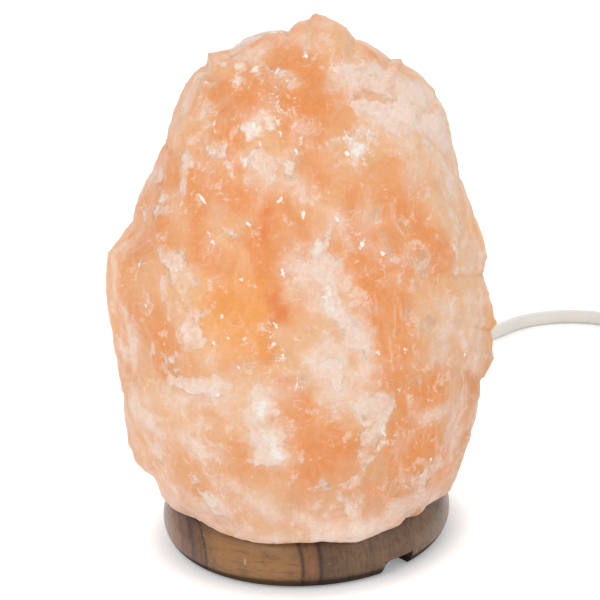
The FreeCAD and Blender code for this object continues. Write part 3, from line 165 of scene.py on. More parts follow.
# ---------------------------------------------------------------- node helpers
class Graph:
    """Adds nodes to a node tree. A value is a number, a colour or the socket that it comes from."""

    def __init__(self, tree):
        self.tree = tree
        tree.nodes.clear()

    def node(self, kind, values=None, out=0, **settings):
        node = self.tree.nodes.new(kind)
        for name, value in settings.items():
            setattr(node, name, value)
        for key, value in (values or {}).items():
            self.feed(node.inputs[key], value)
        return node.outputs[out] if len(node.outputs) else node

    def feed(self, socket, value):
        if isinstance(value, bpy.types.NodeSocket):
            self.tree.links.new(value, socket)
        else:
            socket.default_value = value

    def place(self):
        return self.node("ShaderNodeTexCoord", out="Object")

    def math(self, operation, a, b=0.0):
        return self.node("ShaderNodeMath", {0: a, 1: b}, operation=operation)

    def plus(self, a, b):
        return self.math("ADD", a, b)

    def less(self, a, b):
        return self.math("SUBTRACT", a, b)

    def times(self, a, b):
        return self.math("MULTIPLY", a, b)

    def greater(self, a, b):
        return self.math("MAXIMUM", a, b)

    def gap(self, value, level=0.0):
        """How far the value is from this level."""
        return self.math("ABSOLUTE", self.less(value, level))

    def length(self, vector):
        return self.node("ShaderNodeVectorMath", {0: vector}, out="Value", operation="LENGTH")

    def scaled(self, vector, factors):
        return self.node("ShaderNodeVectorMath", {0: vector, 1: factors}, operation="MULTIPLY")

    def shifted(self, vector, offset):
        return self.node("ShaderNodeVectorMath", {0: vector, 1: offset}, operation="ADD")

    def noise(self, vector, scale, detail=3.0, roughness=0.5, out="Fac"):
        values = {"Vector": vector, "Scale": scale, "Detail": detail, "Roughness": roughness}
        return self.node("ShaderNodeTexNoise", values, out=out)

    def cells(self, vector, scale, feature="F1", out="Distance"):
        return self.node("ShaderNodeTexVoronoi", {"Vector": vector, "Scale": scale}, out=out, feature=feature)

    def warped(self, vector, scale, reach):
        """The vector, pushed about by noise of this scale by up to half of reach."""
        drift = self.shifted(self.noise(vector, scale, 2.0, out="Color"), (-0.5, -0.5, -0.5))
        return self.shifted(vector, self.scaled(drift, (reach, reach, reach)))

    def step(self, value, low, high, bottom=0.0, top=1.0):
        """From bottom to top as the value goes from low to high, eased at both ends."""
        values = {"Value": value, "From Min": low, "From Max": high, "To Min": bottom, "To Max": top}
        return self.node("ShaderNodeMapRange", values, interpolation_type="SMOOTHSTEP")

    def mix(self, share, a, b, blend="MIX"):
        return self.node("ShaderNodeMix", {0: share, 6: a, 7: b}, out=2, data_type="RGBA", blend_type=blend)

    def mark(self, name):
        return self.node("ShaderNodeAttribute", out="Fac", attribute_name=name)

    def bump(self, height, distance, strength=1.0):
        values = {"Height": height, "Distance": distance, "Strength": strength}
        return self.node("ShaderNodeBump", values)

    def axes(self, vector):
        split = self.node("ShaderNodeSeparateXYZ", {0: vector}).node
        return split.outputs[0], split.outputs[1], split.outputs[2]

    def group(self, tree, values):
        node = self.tree.nodes.new("ShaderNodeGroup")
        node.node_tree = tree
        for key, value in values.items():
            self.feed(node.inputs[key], value)
        return node.outputs


def new_material(name):
    material = bpy.data.materials.new(name)
    material.use_nodes = True
    return material, Graph(material.node_tree)


def finish(graph, values):
    shader = graph.node("ShaderNodeBsdfPrincipled", values)
    graph.node("ShaderNodeOutputMaterial", {"Surface": shader})


def socket(tree, name, kind="NodeSocketFloat", given=True, default=None):
    made = tree.interface.new_socket(name, in_out="INPUT" if given else "OUTPUT", socket_type=kind)
    if default is not None:
        made.default_value = default


def moulding_group():
    """Fine moulding grain and the marks of handling, for plastics and metals."""
    tree = bpy.data.node_groups.get("Moulding")
    if tree:
        return tree
    tree = bpy.data.node_groups.new("Moulding", "ShaderNodeTree")
    graph = Graph(tree)
    socket(tree, "Grain", default=900.0)
    socket(tree, "Marks", default=60.0)
    socket(tree, "Height", given=False)
    socket(tree, "Wear", given=False)
    given = tree.nodes.new("NodeGroupInput").outputs
    place = graph.place()
    fine = graph.noise(place, given["Grain"], 2.0)
    smudge = graph.noise(place, given["Marks"], 4.0, 0.6)
    stretched = graph.scaled(graph.warped(place, 40.0, 0.01), (1.0, 0.12, 1.0))
    scratch = graph.step(graph.cells(stretched, given["Grain"], "DISTANCE_TO_EDGE"), 0.03, 0.0)
    wear = graph.plus(graph.times(smudge, 0.8), graph.times(scratch, 0.2))
    graph.node("NodeGroupOutput", {"Height": fine, "Wear": wear})
    return tree


def moulded(name, colour, roughness=0.4, bump=0.00002, marks=60.0, **constants):
    """Moulded plastic or rubber: slight mottling, grain and dulled patches."""
    material, graph = new_material(name)
    found = graph.group(moulding_group(), {"Grain": 1400.0, "Marks": marks})
    darker = opaque([c * 0.86 for c in tuple(colour)[:3]])
    base = graph.mix(graph.step(found["Wear"], 0.25, 0.75), opaque(colour), darker)
    values = {"Base Color": base,
              "Roughness": graph.step(found["Wear"], 0.2, 0.8, roughness * 0.8, roughness * 1.25),
              "Normal": graph.bump(found["Height"], bump)}
    finish(graph, values | constants)
    return material


def metal(name, colour, roughness=0.3, **constants):
    """Bare metal with dulled patches and fine scratches."""
    material, graph = new_material(name)
    found = graph.group(moulding_group(), {"Grain": 700.0, "Marks": 120.0})
    dull = opaque([c * 0.62 for c in tuple(colour)[:3]])
    values = {"Base Color": graph.mix(graph.step(found["Wear"], 0.35, 0.8), opaque(colour), dull),
              "Metallic": 1.0,
              "Roughness": graph.step(found["Wear"], 0.2, 0.8, roughness * 0.7, roughness * 1.6),
              "Normal": graph.bump(found["Height"], 0.00001)}
    finish(graph, values | constants)
    return material


# ---------------------------------------------------------------- object helpers
def cover(material, *nodes):
    """Gives CAD nodes their material."""
    for node in nodes:
        mesh = NODES[node].data
        mesh.materials.clear()
        mesh.materials.append(material)


def loose_object(name, data):
    obj = bpy.data.objects.new(name, data)
    bpy.context.scene.collection.objects.link(obj)
    return obj


def new_piece(name, mesh, material, body):
    """A piece that rides on a body; without a material it keeps those of its mesh."""
    piece = loose_object(name, mesh)
    if material:
        mesh.materials.clear()
        mesh.materials.append(material)
    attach(piece, body)
    return piece


def mesh_from(whole, name):
    """The edited mesh as a mesh of this name."""
    mesh = bpy.data.meshes.new(name)
    whole.to_mesh(mesh)
    whole.free()
    return mesh


def evaluated_mesh(obj):
    """The object's mesh with its modifiers, as a plain mesh; the object is removed."""
    graph = bpy.context.evaluated_depsgraph_get()
    mesh = bpy.data.meshes.new_from_object(obj.evaluated_get(graph))
    bpy.data.objects.remove(obj)
    return mesh


def grown(mesh, tree, values):
    """The mesh that a Geometry Nodes group makes from this one."""
    obj = loose_object("grown", mesh)
    modifier = obj.modifiers.new("grown", "NODES")
    modifier.node_group = tree
    for item in tree.interface.items_tree:
        if item.item_type == "SOCKET" and item.in_out == "INPUT" and item.name in values:
            modifier[item.identifier] = values[item.name]
    return evaluated_mesh(obj)


def path_mesh(name, points, closed=False):
    mesh = bpy.data.meshes.new(name)
    count = len(points)
    mesh.from_pydata(points, [(k, (k + 1) % count) for k in range(count if closed else count - 1)], [])
    return mesh


def geometry_tree(name, numbers, counts=(), vectors=()):
    """A Geometry Nodes group with these inputs: its graph, and the sockets that the inputs come from."""
    tree = bpy.data.node_groups.new(name, "GeometryNodeTree")
    graph = Graph(tree)
    socket(tree, "Geometry", "NodeSocketGeometry")
    for kind, names in (("Float", numbers), ("Int", counts), ("Vector", vectors)):
        for item in names:
            socket(tree, item, "NodeSocket" + kind)
    socket(tree, "Material", "NodeSocketMaterial")
    socket(tree, "Geometry", "NodeSocketGeometry", given=False)
    return graph, tree.nodes.new("NodeGroupInput").outputs


def end_tree(graph, geometry, given):
    """Makes plain geometry of what the group has made and paints it."""
    whole = graph.node("GeometryNodeRealizeInstances", {"Geometry": geometry})
    painted = graph.node("GeometryNodeSetMaterial", {"Geometry": whole, "Material": given["Material"]})
    graph.node("NodeGroupOutput", {"Geometry": painted})
    return graph.tree


def strap_tree():
    """Sweeps a strap along the edges of a mesh, flat to the X axis."""
    graph, given = geometry_tree("Strap", ("Width", "Thickness"))
    path = graph.node("GeometryNodeMeshToCurve", {"Mesh": given["Geometry"]})
    path = graph.node("GeometryNodeSetCurveNormal", {"Curve": path, "Normal": (1.0, 0.0, 0.0)}, mode="FREE")
    profile = graph.node("GeometryNodeCurvePrimitiveQuadrilateral",
                         {"Width": given["Width"], "Height": given["Thickness"]})
    swept = graph.node("GeometryNodeCurveToMesh",
                       {"Curve": path, "Profile Curve": profile, "Fill Caps": True})
    return end_tree(graph, swept, given)


def wire_tree():
    """Sweeps a round wire along the edges of a mesh."""
    graph, given = geometry_tree("Wire", ("Thickness",))
    path = graph.node("GeometryNodeMeshToCurve", {"Mesh": given["Geometry"]})
    profile = graph.node("GeometryNodeCurvePrimitiveCircle",
                         {"Resolution": 8, "Radius": graph.times(given["Thickness"], 0.5)})
    swept = graph.node("GeometryNodeCurveToMesh",
                       {"Curve": path, "Profile Curve": profile, "Fill Caps": True})
    return end_tree(graph, swept, given)


def settings(name):
    return getattr(bpy.context.scene, name)


# ---------------------------------------------------------------- stage
VIEW_TARGET = Vector((0.00153, 0.0, 0.09806))
FLOOR_REACH = 6.0
# How much light of its own the floor shows to the camera, by the distance from the lamp's axis: little close
# to the base and round the dimmer, the coil and the plug, so that their shadows stay.
FLOOR_GLOW = (0.22, 0.60, 0.25)
FLOOR_GLOW_RISE = (0.056, 0.075)
FLOOR_GLOW_FALL = (0.13, 0.20)


def camera_matrix(stage):
    turn = Matrix.Rotation(math.pi / 2 - stage.elevation, 4, "X") @ Matrix.Rotation(-stage.roll, 4, "Z")
    back = Vector((0.0, -math.cos(stage.elevation), math.sin(stage.elevation)))
    return Matrix.Translation(VIEW_TARGET + back * stage.distance) @ turn


class SALTLAMP_OT_stage(bpy.types.Operator):
    """Camera, soft studio light, white floor and background"""
    bl_idname = "salt_lamp.stage"
    bl_label = "Stage"

    def execute(self, context):
        stage = settings("salt_lamp_stage")
        self.camera(context.scene, stage)
        self.lamps(stage)
        self.surroundings(context.scene, stage)
        self.floor(stage)
        context.scene.view_settings.view_transform = "Standard"
        return {"FINISHED"}

    def camera(self, scene, stage):
        data = bpy.data.cameras.new("camera")
        data.lens = stage.lens
        data.sensor_width = 36.0
        data.clip_start = 0.05
        camera = loose_object("camera", data)
        camera.matrix_world = camera_matrix(stage)
        scene.camera = camera

    def lamps(self, stage):
        for name, place, size, power in (
                ("key", (-0.9, -1.3, 1.5), 1.4, 13.0),
                ("fill", (1.5, -1.1, 1.0), 1.4, 5.0),
                ("rim", (0.3, 1.5, 1.4), 1.2, 5.0)):
            data = bpy.data.lights.new(name, "AREA")
            data.shape = "SQUARE"
            data.size = size
            data.energy = power * stage.softboxes
            lamp = loose_object(name, data)
            lamp.location = place
            lamp.rotation_euler = (Vector(place) - Vector((0, 0, 0.1))).to_track_quat("Z", "Y").to_euler()

    def seen_plainly(self, graph):
        """1 where the camera, a mirror or glass looks at the backdrop, 0 where it lights the lamp."""
        light_path = graph.tree.nodes.new("ShaderNodeLightPath").outputs
        seen = graph.greater(light_path["Is Camera Ray"], light_path["Is Glossy Ray"])
        return graph.greater(seen, light_path["Is Transmission Ray"])

    def surroundings(self, scene, stage):
        world = bpy.data.worlds.new("surroundings")
        scene.world = world
        world.use_nodes = True
        graph = Graph(world.node_tree)
        strength = graph.step(self.seen_plainly(graph), 0.0, 1.0, stage.daylight, 1.0)
        sky = graph.node("ShaderNodeBackground", {"Color": opaque(stage.backdrop), "Strength": strength})
        graph.node("ShaderNodeOutputWorld", {"Surface": sky})

    def floor(self, stage):
        mesh = bpy.data.meshes.new("floor")
        r = FLOOR_REACH
        mesh.from_pydata([(-r, -r, 0), (r, -r, 0), (r, r, 0), (-r, r, 0)], [], [(0, 1, 2, 3)])
        floor = loose_object("floor", mesh)
        material, graph = new_material("studio floor")
        place = graph.place()
        away = graph.length(place)
        near, middle, far = FLOOR_GLOW
        glow = graph.step(away, *FLOOR_GLOW_RISE, near, middle)
        glow = graph.less(glow, graph.step(away, *FLOOR_GLOW_FALL, 0.0, middle - far))
        grain = graph.times(graph.noise(place, 30.0), 0.05)
        paint = graph.mix(grain, opaque(stage.backdrop), opaque(tint(246, 246, 246)))
        matt = graph.node("ShaderNodeBsdfDiffuse", {"Color": paint})
        lit = graph.node("ShaderNodeEmission", {"Color": opaque(stage.backdrop),
                                                "Strength": graph.times(self.seen_plainly(graph), glow)})
        both = graph.node("ShaderNodeAddShader", {0: matt, 1: lit})
        graph.node("ShaderNodeOutputMaterial", {"Surface": both})
        mesh.materials.append(material)


# ---------------------------------------------------------------- crystal
# Marks on the side that faces the room: millimetres right of and above the middle of the view, at the lamp's
# distance, from one end of the mark to the other, then its half width.
# Rows along the left and right of the outline are painted light: the paler rim where light shows through the
# crystal's edges. The others are clouded salt.
CLOUDS_AND_RIM_LIGHT = (
    (17.6, 85, 50.7, 81.1, 7), (28.1, 73.3, 54.6, 67.1, 7), (41, 60.1, 58.5, 58.5, 3.5),
    (55.4, 78, 59.7, 52.7, 3.5), (0, 103, 11.7, 108.4, 3.1), (-14.8, 99.1, -1.6, 100.6, 3.1),
    (-33.5, 93.6, -45.3, 76.5, 3.1), (-47.6, 73.3, -50.7, 60.1, 2.7), (-25, 97.5, -14.8, 97.5, 2.3),
    (-21.1, 53.1, -14.8, 49.9, 4.7), (-8.6, 49.2, 0, 46.8, 3.5), (2.3, 58.5, 1.2, 50.7, 2),
    (11.7, 28.9, 7.8, 18.7, 3.9), (7.8, 18.7, 11.7, 8.6, 4.7), (4.7, 14.8, 0, 7, 3.1),
    (11.7, 8.6, 14.4, -1.6, 5.9), (14.4, -1.6, 19.5, -15.6, 6.2), (19.5, -15.6, 26.5, -25.7, 5.9),
    (8.6, -20.3, 14, -35.9, 6.6), (20.3, -31.2, 28.1, -35.9, 3.5), (-14.8, -37.8, -13.3, -49.2, 3.9),
    (-13.3, -49.2, -9.4, -63.2, 5.1), (-19.5, -46.8, -17.2, -57.7, 3.1), (-33.2, -84.6, -15.6, -90.9, 2.7),
    (-15.6, -92.1, 11.7, -93.6, 2.7), (11.7, -93.6, 33.2, -88.9, 2.7), (-48.4, -54.6, -40.6, -59.3, 2.7),
    (64.8, 12.5, 67.9, 21.8, 3.5), (66.3, 0, 66.3, -11.7, 2.3), (59.3, -7, 63.2, -15.6, 2.7),
    (54.6, -17.9, 53.1, -23.4, 2.7), (-71, 19.5, -72.9, 0, 2), (-71.8, -3.9, -69.4, -19.5, 1.6),
    (-64, -27.3, -58.5, -39, 2), (-58.5, -50.7, -54.6, -58.5, 1.6), (48.4, -46.8, 57, -42.9, 2.3),
    (-50, -38, -33, -43, 5.5), (-45, -54, -33, -59, 4.5), (-70, 30, -70.5, -12, 4), (-66, -30, -60, -48, 3.5),
    (-30, -74, -12, -80, 5), (52, 60, 60, 44, 4), (-36, -82, -20, -88, 3.5), (-8, -84, 8, -88, 4),
    (-69.5, 28, -69, 2, 4.5), (-68, -5, -65, -28, 4.5), (-63, -36, -57, -54, 3.5), (-62, 42, -56, 50, 3),
    (-49, 62, -43, 80, 3), (70, 18, 71, 2, 3), (70, -12, 68, -24, 3), (63, -40, 57, -62, 3.5),
    (60, 58, 64, 38, 3), (-52, -68, -44, -78, 3),
)
PALE_FLAKES = (
    (-30.8, 89.3, -30.4, 89.7, 2.9), (-26.5, 94.4, -19.5, 91.3, 1.5), (-16, 92.8, -7.8, 88.9, 2.3),
    (-36, 62, -31, 60, 3), (-16, 55, -12, 50, 4),
    (20.3, 82.7, 46.8, 81.1, 5.1), (24.2, 73.3, 51.5, 68.7, 5.5), (13.3, 61.6, 24.2, 62.4, 3.5),
    (14.8, 57.7, 17.2, 55.4, 2.3), (50.7, 62.4, 57, 57.7, 2.7), (29.6, 88.2, 40.6, 84.3, 3.1),
    (1.2, 105.3, 8.6, 108.4, 1.6), (1.2, 96.7, 1.6, 94.4, 2.3), (-9.4, 99.9, -9.4, 100.6, 1.3),
    (-36.7, 85.8, -39.8, 74.9, 1.4), (-43.7, 56.6, -47.2, 44.9, 2.7), (-54.6, 47.6, -54.6, 44.5, 2.5),
    (-55.4, 36.7, -53.4, 33.5, 2.3), (-58.5, 38.2, -60.1, 33.5, 1.2), (-47.6, 14.8, -44.5, 3.9, 2.7),
    (-44.5, 3.9, -38.6, -3.1, 2.1), (-45.3, -6.2, -46.8, -17.2, 3.5), (-51.5, 10.9, -52.3, 0, 1.4),
    (-48.4, -23.4, -40.6, -28.9, 1.8), (-49.9, -32, -39, -35.1, 2.7), (-34.3, -37.4, -30.4, -37.4, 1.8),
    (-44.5, -17.2, -44.5, -20.3, 2), (-21.1, 53.1, -15.6, 49.9, 2), (-18.7, 47.6, -19.5, 45.3, 1.2),
    (-1.6, 49.9, 1.6, 54.6, 1.6), (8.6, 21.1, 10.1, 14.8, 2.3), (13.3, 1.6, 15.6, -9.4, 3.1),
    (17.2, -14, 23.4, -20.3, 2.7), (10.1, -25.7, 14, -32.8, 3.1), (-14.8, -40.6, -12.5, -54.6, 2.3),
    (-11.7, -54.6, -9.4, -61.6, 2.3), (32.8, -40.6, 30.8, -52.3, 2.7), (30.8, -52.3, 25.7, -66.3, 2),
    (28.1, -40.6, 32.8, -39, 1.6), (40.2, -70.2, 43.7, -78.8, 3.1), (36.7, -78, 42.9, -83.5, 3.5),
    (48.4, -71, 43.7, -73.3, 2), (18.7, -76.8, 20.3, -89.7, 2.7), (15.6, -73.3, 21.1, -72.6, 1.6),
    (3.5, -58.1, 1.6, -61.6, 1.6), (10.1, -72.9, 11.7, -75.3, 1.6), (51.1, -61.2, 51.1, -63.2, 1.6),
    (65.5, 14.8, 67.9, 19.5, 2), (54.6, -16.4, 53.8, -20.3, 1.6), (-62.4, 14.8, -63.2, 12.5, 1.4),
    (-61.2, 0, -59.7, -5.5, 1.6), (-53.1, 5.5, -52.7, 1.6, 1.6), (-57.7, -20.3, -56.2, -28.1, 1.2),
    (-42.9, -70.2, -32.8, -82.7, 1), (-34.3, -83.5, -23.4, -88.2, 1.6),
    (-52, 20, -45, 12, 3), (-45, 12, -40, -2, 3.4), (-47, -4, -44, -16, 4.5), (-50, -24, -38, -27, 3),
    (-47, -32, -33, -36, 3), (25, -62, 31, -48, 4.5), (31, -48, 35, -38, 4), (22, -70, 26, -64, 2.5),
    (41, -70, 46, -76, 4.5), (46, -70, 52, -64, 3), (10, 24, 11, 10, 3), (13, 4, 15, -6, 3.4),
    (60, 36, 62, 22, 2.5), (-36, 82, -40, 70, 2), (-15, -40, -12, -60, 6), (-50, 16, -46, 4, 4),
    (-24, 26, -22, 22, 1.6), (30, -50, 32, -44, 4.5),
)
ORANGE_ZONES = (
    (-3.1, 97.5, 2.3, 93.6, 3.5), (2.3, 88.2, 8.6, 79.6, 5.1), (8.6, 74.1, 4.7, 58.5, 4.7),
    (4.7, 54.6, 7, 46, 3.5), (-28.9, 82.7, -19.5, 76.5, 3.9), (-14.8, 81.1, -14.8, 74.9, 2.3),
    (-4.7, 78, -3.1, 66.3, 3.5), (-27.3, 67.1, -26.5, 46.8, 3.5), (-39, 49.9, -32.8, 42.9, 3.9),
    (-57, 57, -50.7, 53.1, 3.1), (-28.1, 40.6, -12.5, 36.7, 5.9), (-14.8, 37.1, -12.5, 14.8, 5.5),
    (-9.4, 0.8, -6.2, -7, 4.7), (20.3, 42.9, 23.8, 25.4, 3.5), (23.8, 23.4, 27.3, 3.9, 4.7),
    (25.7, 0, 30.4, -15.6, 4.7), (30.4, -15.6, 35.9, -22.6, 4.3), (35.1, 0, 39.8, -15.6, 5.5),
    (35.9, 42.9, 53.8, 16.4, 6.2), (43.7, -40.2, 54.6, -31.2, 5.9), (46.8, -50.7, 56.2, -69.4, 5.5),
    (6.6, -69.4, 10.1, -66.3, 3.9), (28.9, -74.9, 32.8, -78, 2.3), (36.7, -54.6, 39, -63.2, 3.1),
    (-58.5, 26.5, -54.6, 21.1, 3.1), (-55.4, -7, -52.3, -28.1, 3.1),
    (-40.6, 42.9, -37.1, 23.4, 4.7), (-39, 19.5, -29.3, 11.7, 5.9), (-18, 24, -10, 4, 6),
    (-26.5, 4, -14.8, -15.6, 7), (0, -39, 2.3, -54.6, 3.5), (39, -50, 46, -60, 6), (33, -26, 41, -38, 5),
    (11.7, -50.7, 15.6, -59.3, 3.9),
)
RUST_SPOTS = (
    (-7.8, 0, -5.5, -6.2, 3.4), (-7.5, -31, -6.5, -34.5, 2.2), (-13.5, 34.3, -12.5, 22, 1.4),
)
# Painted light: where the bulb's glow shows through the salt, in colour and as light of its own.
GLOW_ZONES = (
    (-30.4, -7, -19.5, -1.6, 8.6), (-23.4, -11.7, -21.1, 0, 10.9),
)
GREY_PATCHES = (
    (28.9, 32, 33.5, 37.8, 1.6), (32, 24.2, 35.9, 18.7, 1.6), (40.6, 30.4, 42.1, 26.5, 1.6),
    (46, 17.2, 47.6, 11.7, 2.3), (44.5, 6.2, 46.8, 1.6, 1.8), (59.3, -8.6, 62.4, -5.5, 2.7),
    (49.9, -10.9, 52.3, -11.7, 2), (44.5, -24.2, 47.6, -22.6, 2), (-0.8, -30.4, 0.8, -26.5, 1.6),
    (-57.3, -51.5, -54.6, -61.6, 1.6), (39.8, 0, 40.6, -4.7, 1.2), (-46, -25.7, -44.5, -23.4, 1.2),
)
# White patches of freshly broken salt, partly painted highlights where facets flash.
BRIGHT_PATCHES = (
    (-23.4, 90.5, -23, 85.8, 2.9), (-16, 89.7, -16.4, 85, 2.3), (-18.3, 70.6, -17.9, 66.7, 3),
    (-14, 70.2, -12.1, 65.9, 1.4), (-29.3, 52.3, -29.6, 48.4, 1.1), (-35.9, 65.9, -35.1, 66.7, 1.8),
    (-21.5, 53.4, -18.7, 51.5, 2), (19.5, 59.1, 22.6, 56.2, 1.6), (24, 58, 28, 55, 1.4),
    (10, 24, 10, 18, 1.4), (12, 2, 14, -4, 1.4), (-54.2, 36.7, -53.4, 34.7, 1.4), (-14, -42, -12, -50, 2.4),
    (-13, -52, -10.5, -61, 3), (32, -58, 34, -42, 1.6), (-46, -25.4, -42.1, -28.1, 1.2),
    (60, 20, 62, 12, 1.2),
)
# Where the painted glints crowd; the grains of salt and more relief gather there too.
SPARKLING = (
    (-32, 81.5, -31.2, 67.1, 1.5), (-33.9, 74.9, -30.8, 64.8, 1.6), (-35.1, 59.3, -30.4, 58.5, 1.5),
    (-25.4, 72.9, -19.1, 75.7, 1.6), (-22.2, 64.4, -22.6, 69.4, 0.8), (-16.4, 63.6, -9.4, 65.1, 1.1),
    (-10.9, 82.7, -11.7, 78, 1.7), (-11.7, 78, -7.8, 66.3, 1.7), (-10.9, 88.9, -6.2, 84.3, 1.3),
    (-20.3, 92.8, -17.9, 85.8, 0.9), (-3.1, 77.6, 0.4, 66.3, 1.1), (0.4, 66.3, 3.5, 56.6, 1.2),
    (3.5, 56.6, 0.4, 49.5, 1.2), (-8.2, 52.7, -5.1, 47.6, 1.4), (-29.3, 54.6, -29.6, 46.8, 0.9),
    (0, 97.5, 3.1, 93.6, 1.2), (11.7, 90.5, 12.5, 84.3, 1.2), (13.3, 62.4, 24.2, 61.6, 1.6),
    (20, 60, 28, 54, 1.8), (-22, 27, -17, 25, 1.6), (-24, 32, -22, 28, 1), (-9.8, -8.6, -7, -20.3, 2.4),
    (-14, -9, -9, -9, 1), (-3, -22, -1, -38, 1.2), (-24.2, -15.6, -21.1, -15.6, 0.8),
    (-25, -24.2, -22.6, -26.5, 1.2), (7.8, 23.4, 9.4, 14.8, 1.4), (10, 4, 12, 0, 1.2),
    (24.2, 23.4, 24.2, 19.5, 1.4), (46, 5, 47, -2, 1.2), (46, -14, 45, -24, 1.6), (31, -27, 41, -34, 1.2),
    (-55.4, 36.7, -53.1, 32.8, 2), (-35.1, 0, -32, -7, 1), (23.4, -50.7, 28.1, -56, 1.4),
    (64, -19.5, 66.3, -20.3, 1.2), (-62.4, 14.8, -60.9, 7.8, 1.2), (34, -44, 36, -54, 1),
)
CHIPS = (
    (-18.2, 69.5, -17.5, 66.5, 1.2), (-8, 66, -7.2, 64, 0.8), (1.6, 96, 2.7, 94.4, 1.2),
    (-8.2, 90.9, -9.8, 87.8, 0.8), (-39.4, 41.3, -35.1, 35.9, 0.9), (-8.6, 37.8, -6.6, 40.6, 1),
    (1.2, 35.9, 1.2, 32, 1.2), (-34.3, 23.4, -33.5, 21.8, 1), (-36.3, 27.3, -35.5, 25.7, 0.8),
    (-30.8, -5.9, -30.4, -7, 1.2), (-33.9, -16, -33.2, -17.6, 1), (-21.1, -14.4, -22.6, -16.4, 0.9),
    (-9.8, -9, -9, -11.3, 0.9), (-7, 11.7, -6.2, 9.4, 1.2), (24.2, 22.6, 24.2, 20.7, 1.6),
    (31.6, 18.7, 32.8, 17.2, 1.2), (14.4, 32.4, 14.8, 30.4, 1), (-24.6, -25.7, -23.4, -26.9, 0.8),
    (32.4, -51.5, 32.8, -53.1, 0.9), (-48.4, 11.7, -48, 11.3, 0.8), (-63.2, 14, -62, 13.3, 0.9),
    (-60.9, -0.8, -59.7, -3.1, 0.9), (-21.8, 55.4, -21.1, 52.3, 1), (17.9, 57.7, 19.5, 56.2, 1.2),
    (-23.4, 7.8, -21.8, 8.2, 0.8), (-28.1, -14.8, -27.7, -15.6, 0.7), (64.8, -20.3, 64, -21.8, 0.8),
    (50.7, -61.6, 51.1, -63.2, 0.9), (-32.8, -37.1, -30.8, -37.4, 1), (-16, 62, -15.2, 60.1, 0.7),
    (-2.3, 59.3, -0.8, 57, 0.7), (40.6, -18.7, 41.3, -20.3, 0.8), (30.4, -20.3, 31.2, -21.8, 0.9),
    (-21.1, 30.4, -19.5, 28.9, 0.8),
)
# the outline that the camera sees, on the upright plane through the axis: across, then height
LEFT_OUTLINE = (
    (12.4, 212.6), (5.9, 209.9), (1.3, 206.8), (-6.2, 206.6), (-14.8, 204.3), (-20.9, 200.4), (-28.4, 199.2),
    (-31.0, 195.1), (-38.0, 188.0), (-43.2, 177.6), (-47.3, 164.5), (-53.0, 153.4), (-58.6, 143.6),
    (-61.6, 134.0), (-67.0, 127.7), (-71.7, 121.8), (-73.2, 112.4), (-73.7, 100.8), (-72.7, 89.8),
    (-71.8, 77.1), (-70.5, 62.5), (-70.7, 48.7), (-70.1, 40.4), (-67.8, 32.8), (-61.5, 25.4), (-57.3, 16.4),
)
RIGHT_OUTLINE = (
    (16.5, 211.6), (23.8, 207.2), (27.8, 202.4), (34.8, 198.3), (39.9, 194.2), (44.0, 193.2), (46.9, 190.3),
    (51.7, 186.5), (56.5, 180.8), (61.2, 170.3), (63.2, 158.8), (65.5, 144.9), (68.0, 137.4), (70.5, 129.2),
    (73.5, 120.4), (75.0, 112.1), (73.3, 104.7), (75.9, 95.4), (78.2, 84.3), (76.6, 81.1), (76.8, 73.4),
    (76.6, 69.2), (71.8, 60.0), (68.7, 41.2), (64.8, 28.3), (58.4, 11.8),
)
# how far the crystal's lower edge stands from the axis, by direction in degrees
LOWER_EDGE = (
    (197.6, 58.3), (207.5, 58.7), (218.7, 56.1), (239.0, 59.0), (246.7, 61.4), (256.1, 61.8), (267.2, 60.6),
    (275.7, 60.9), (286.1, 65.4), (297.4, 62.4), (306.2, 61.2), (311.7, 58.4), (316.7, 60.5), (324.2, 57.7),
    (331.8, 59.4), (339.5, 61.0),
)
CHIP_SIZES = (0.85, 0.55, 0.4, 0.3)      # each chip is a few broken pieces, the largest first
FAR_CHIPS = 40
GLINT_DENSITY = 22000.0     # grains on a square metre, where the crystal sparkles most
GLINT_SIZE = 0.00062
OUTLINE_CENTRE = (0.002, 0.105)
OUTLINE_SLOTS = 200
EDGE_SLOTS = 120
MARK_REACH = 12.0
CUT_SPREAD = 0.018
CUT_TILT = 0.12
SMOOTHING_ROUNDS = 6
FACE_SEED = 11


def mesh_points(mesh):
    points = np.empty(len(mesh.vertices) * 3, np.float32)
    mesh.vertices.foreach_get("co", points)
    return points.reshape(-1, 3).astype(float)


def mesh_normals(mesh):
    normals = np.empty(len(mesh.vertices) * 3, np.float32)
    mesh.vertex_normals.foreach_get("vector", normals)
    return normals.reshape(-1, 3).astype(float)


def set_points(mesh, points):
    mesh.vertices.foreach_set("co", points.astype(np.float32).ravel())
    mesh.update()


def eased(value, low, high):
    share = np.clip((value - low) / (high - low), 0.0, 1.0)
    return share * share * (3.0 - 2.0 * share)


def even_mesh(node, spacing):
    """A closed, even mesh of a CAD node."""
    mesh = NODES[node].data.copy()
    whole = bmesh.new()
    whole.from_mesh(mesh)
    bmesh.ops.remove_doubles(whole, verts=whole.verts, dist=1e-6)
    whole.to_mesh(mesh)
    whole.free()
    obj = loose_object("even", mesh)
    remesh = obj.modifiers.new("even", "REMESH")
    remesh.mode = "VOXEL"
    remesh.voxel_size = spacing
    return evaluated_mesh(obj)


def outside_share(points):
    """1 on the crystal's outside, 0 in its bore and on its sole."""
    radius = np.hypot(points[:, 0], points[:, 1])
    outer = (radius > INNER_RADIUS) | (points[:, 2] > BORE_TOP + 0.004)
    side = eased(points[:, 2], BASE_TOP + 0.0002, BASE_TOP + 0.003)
    rim = eased(radius, 0.050, 0.055) * (points[:, 2] < BASE_TOP + 0.004)
    return outer * np.maximum(side, 0.6 * rim)


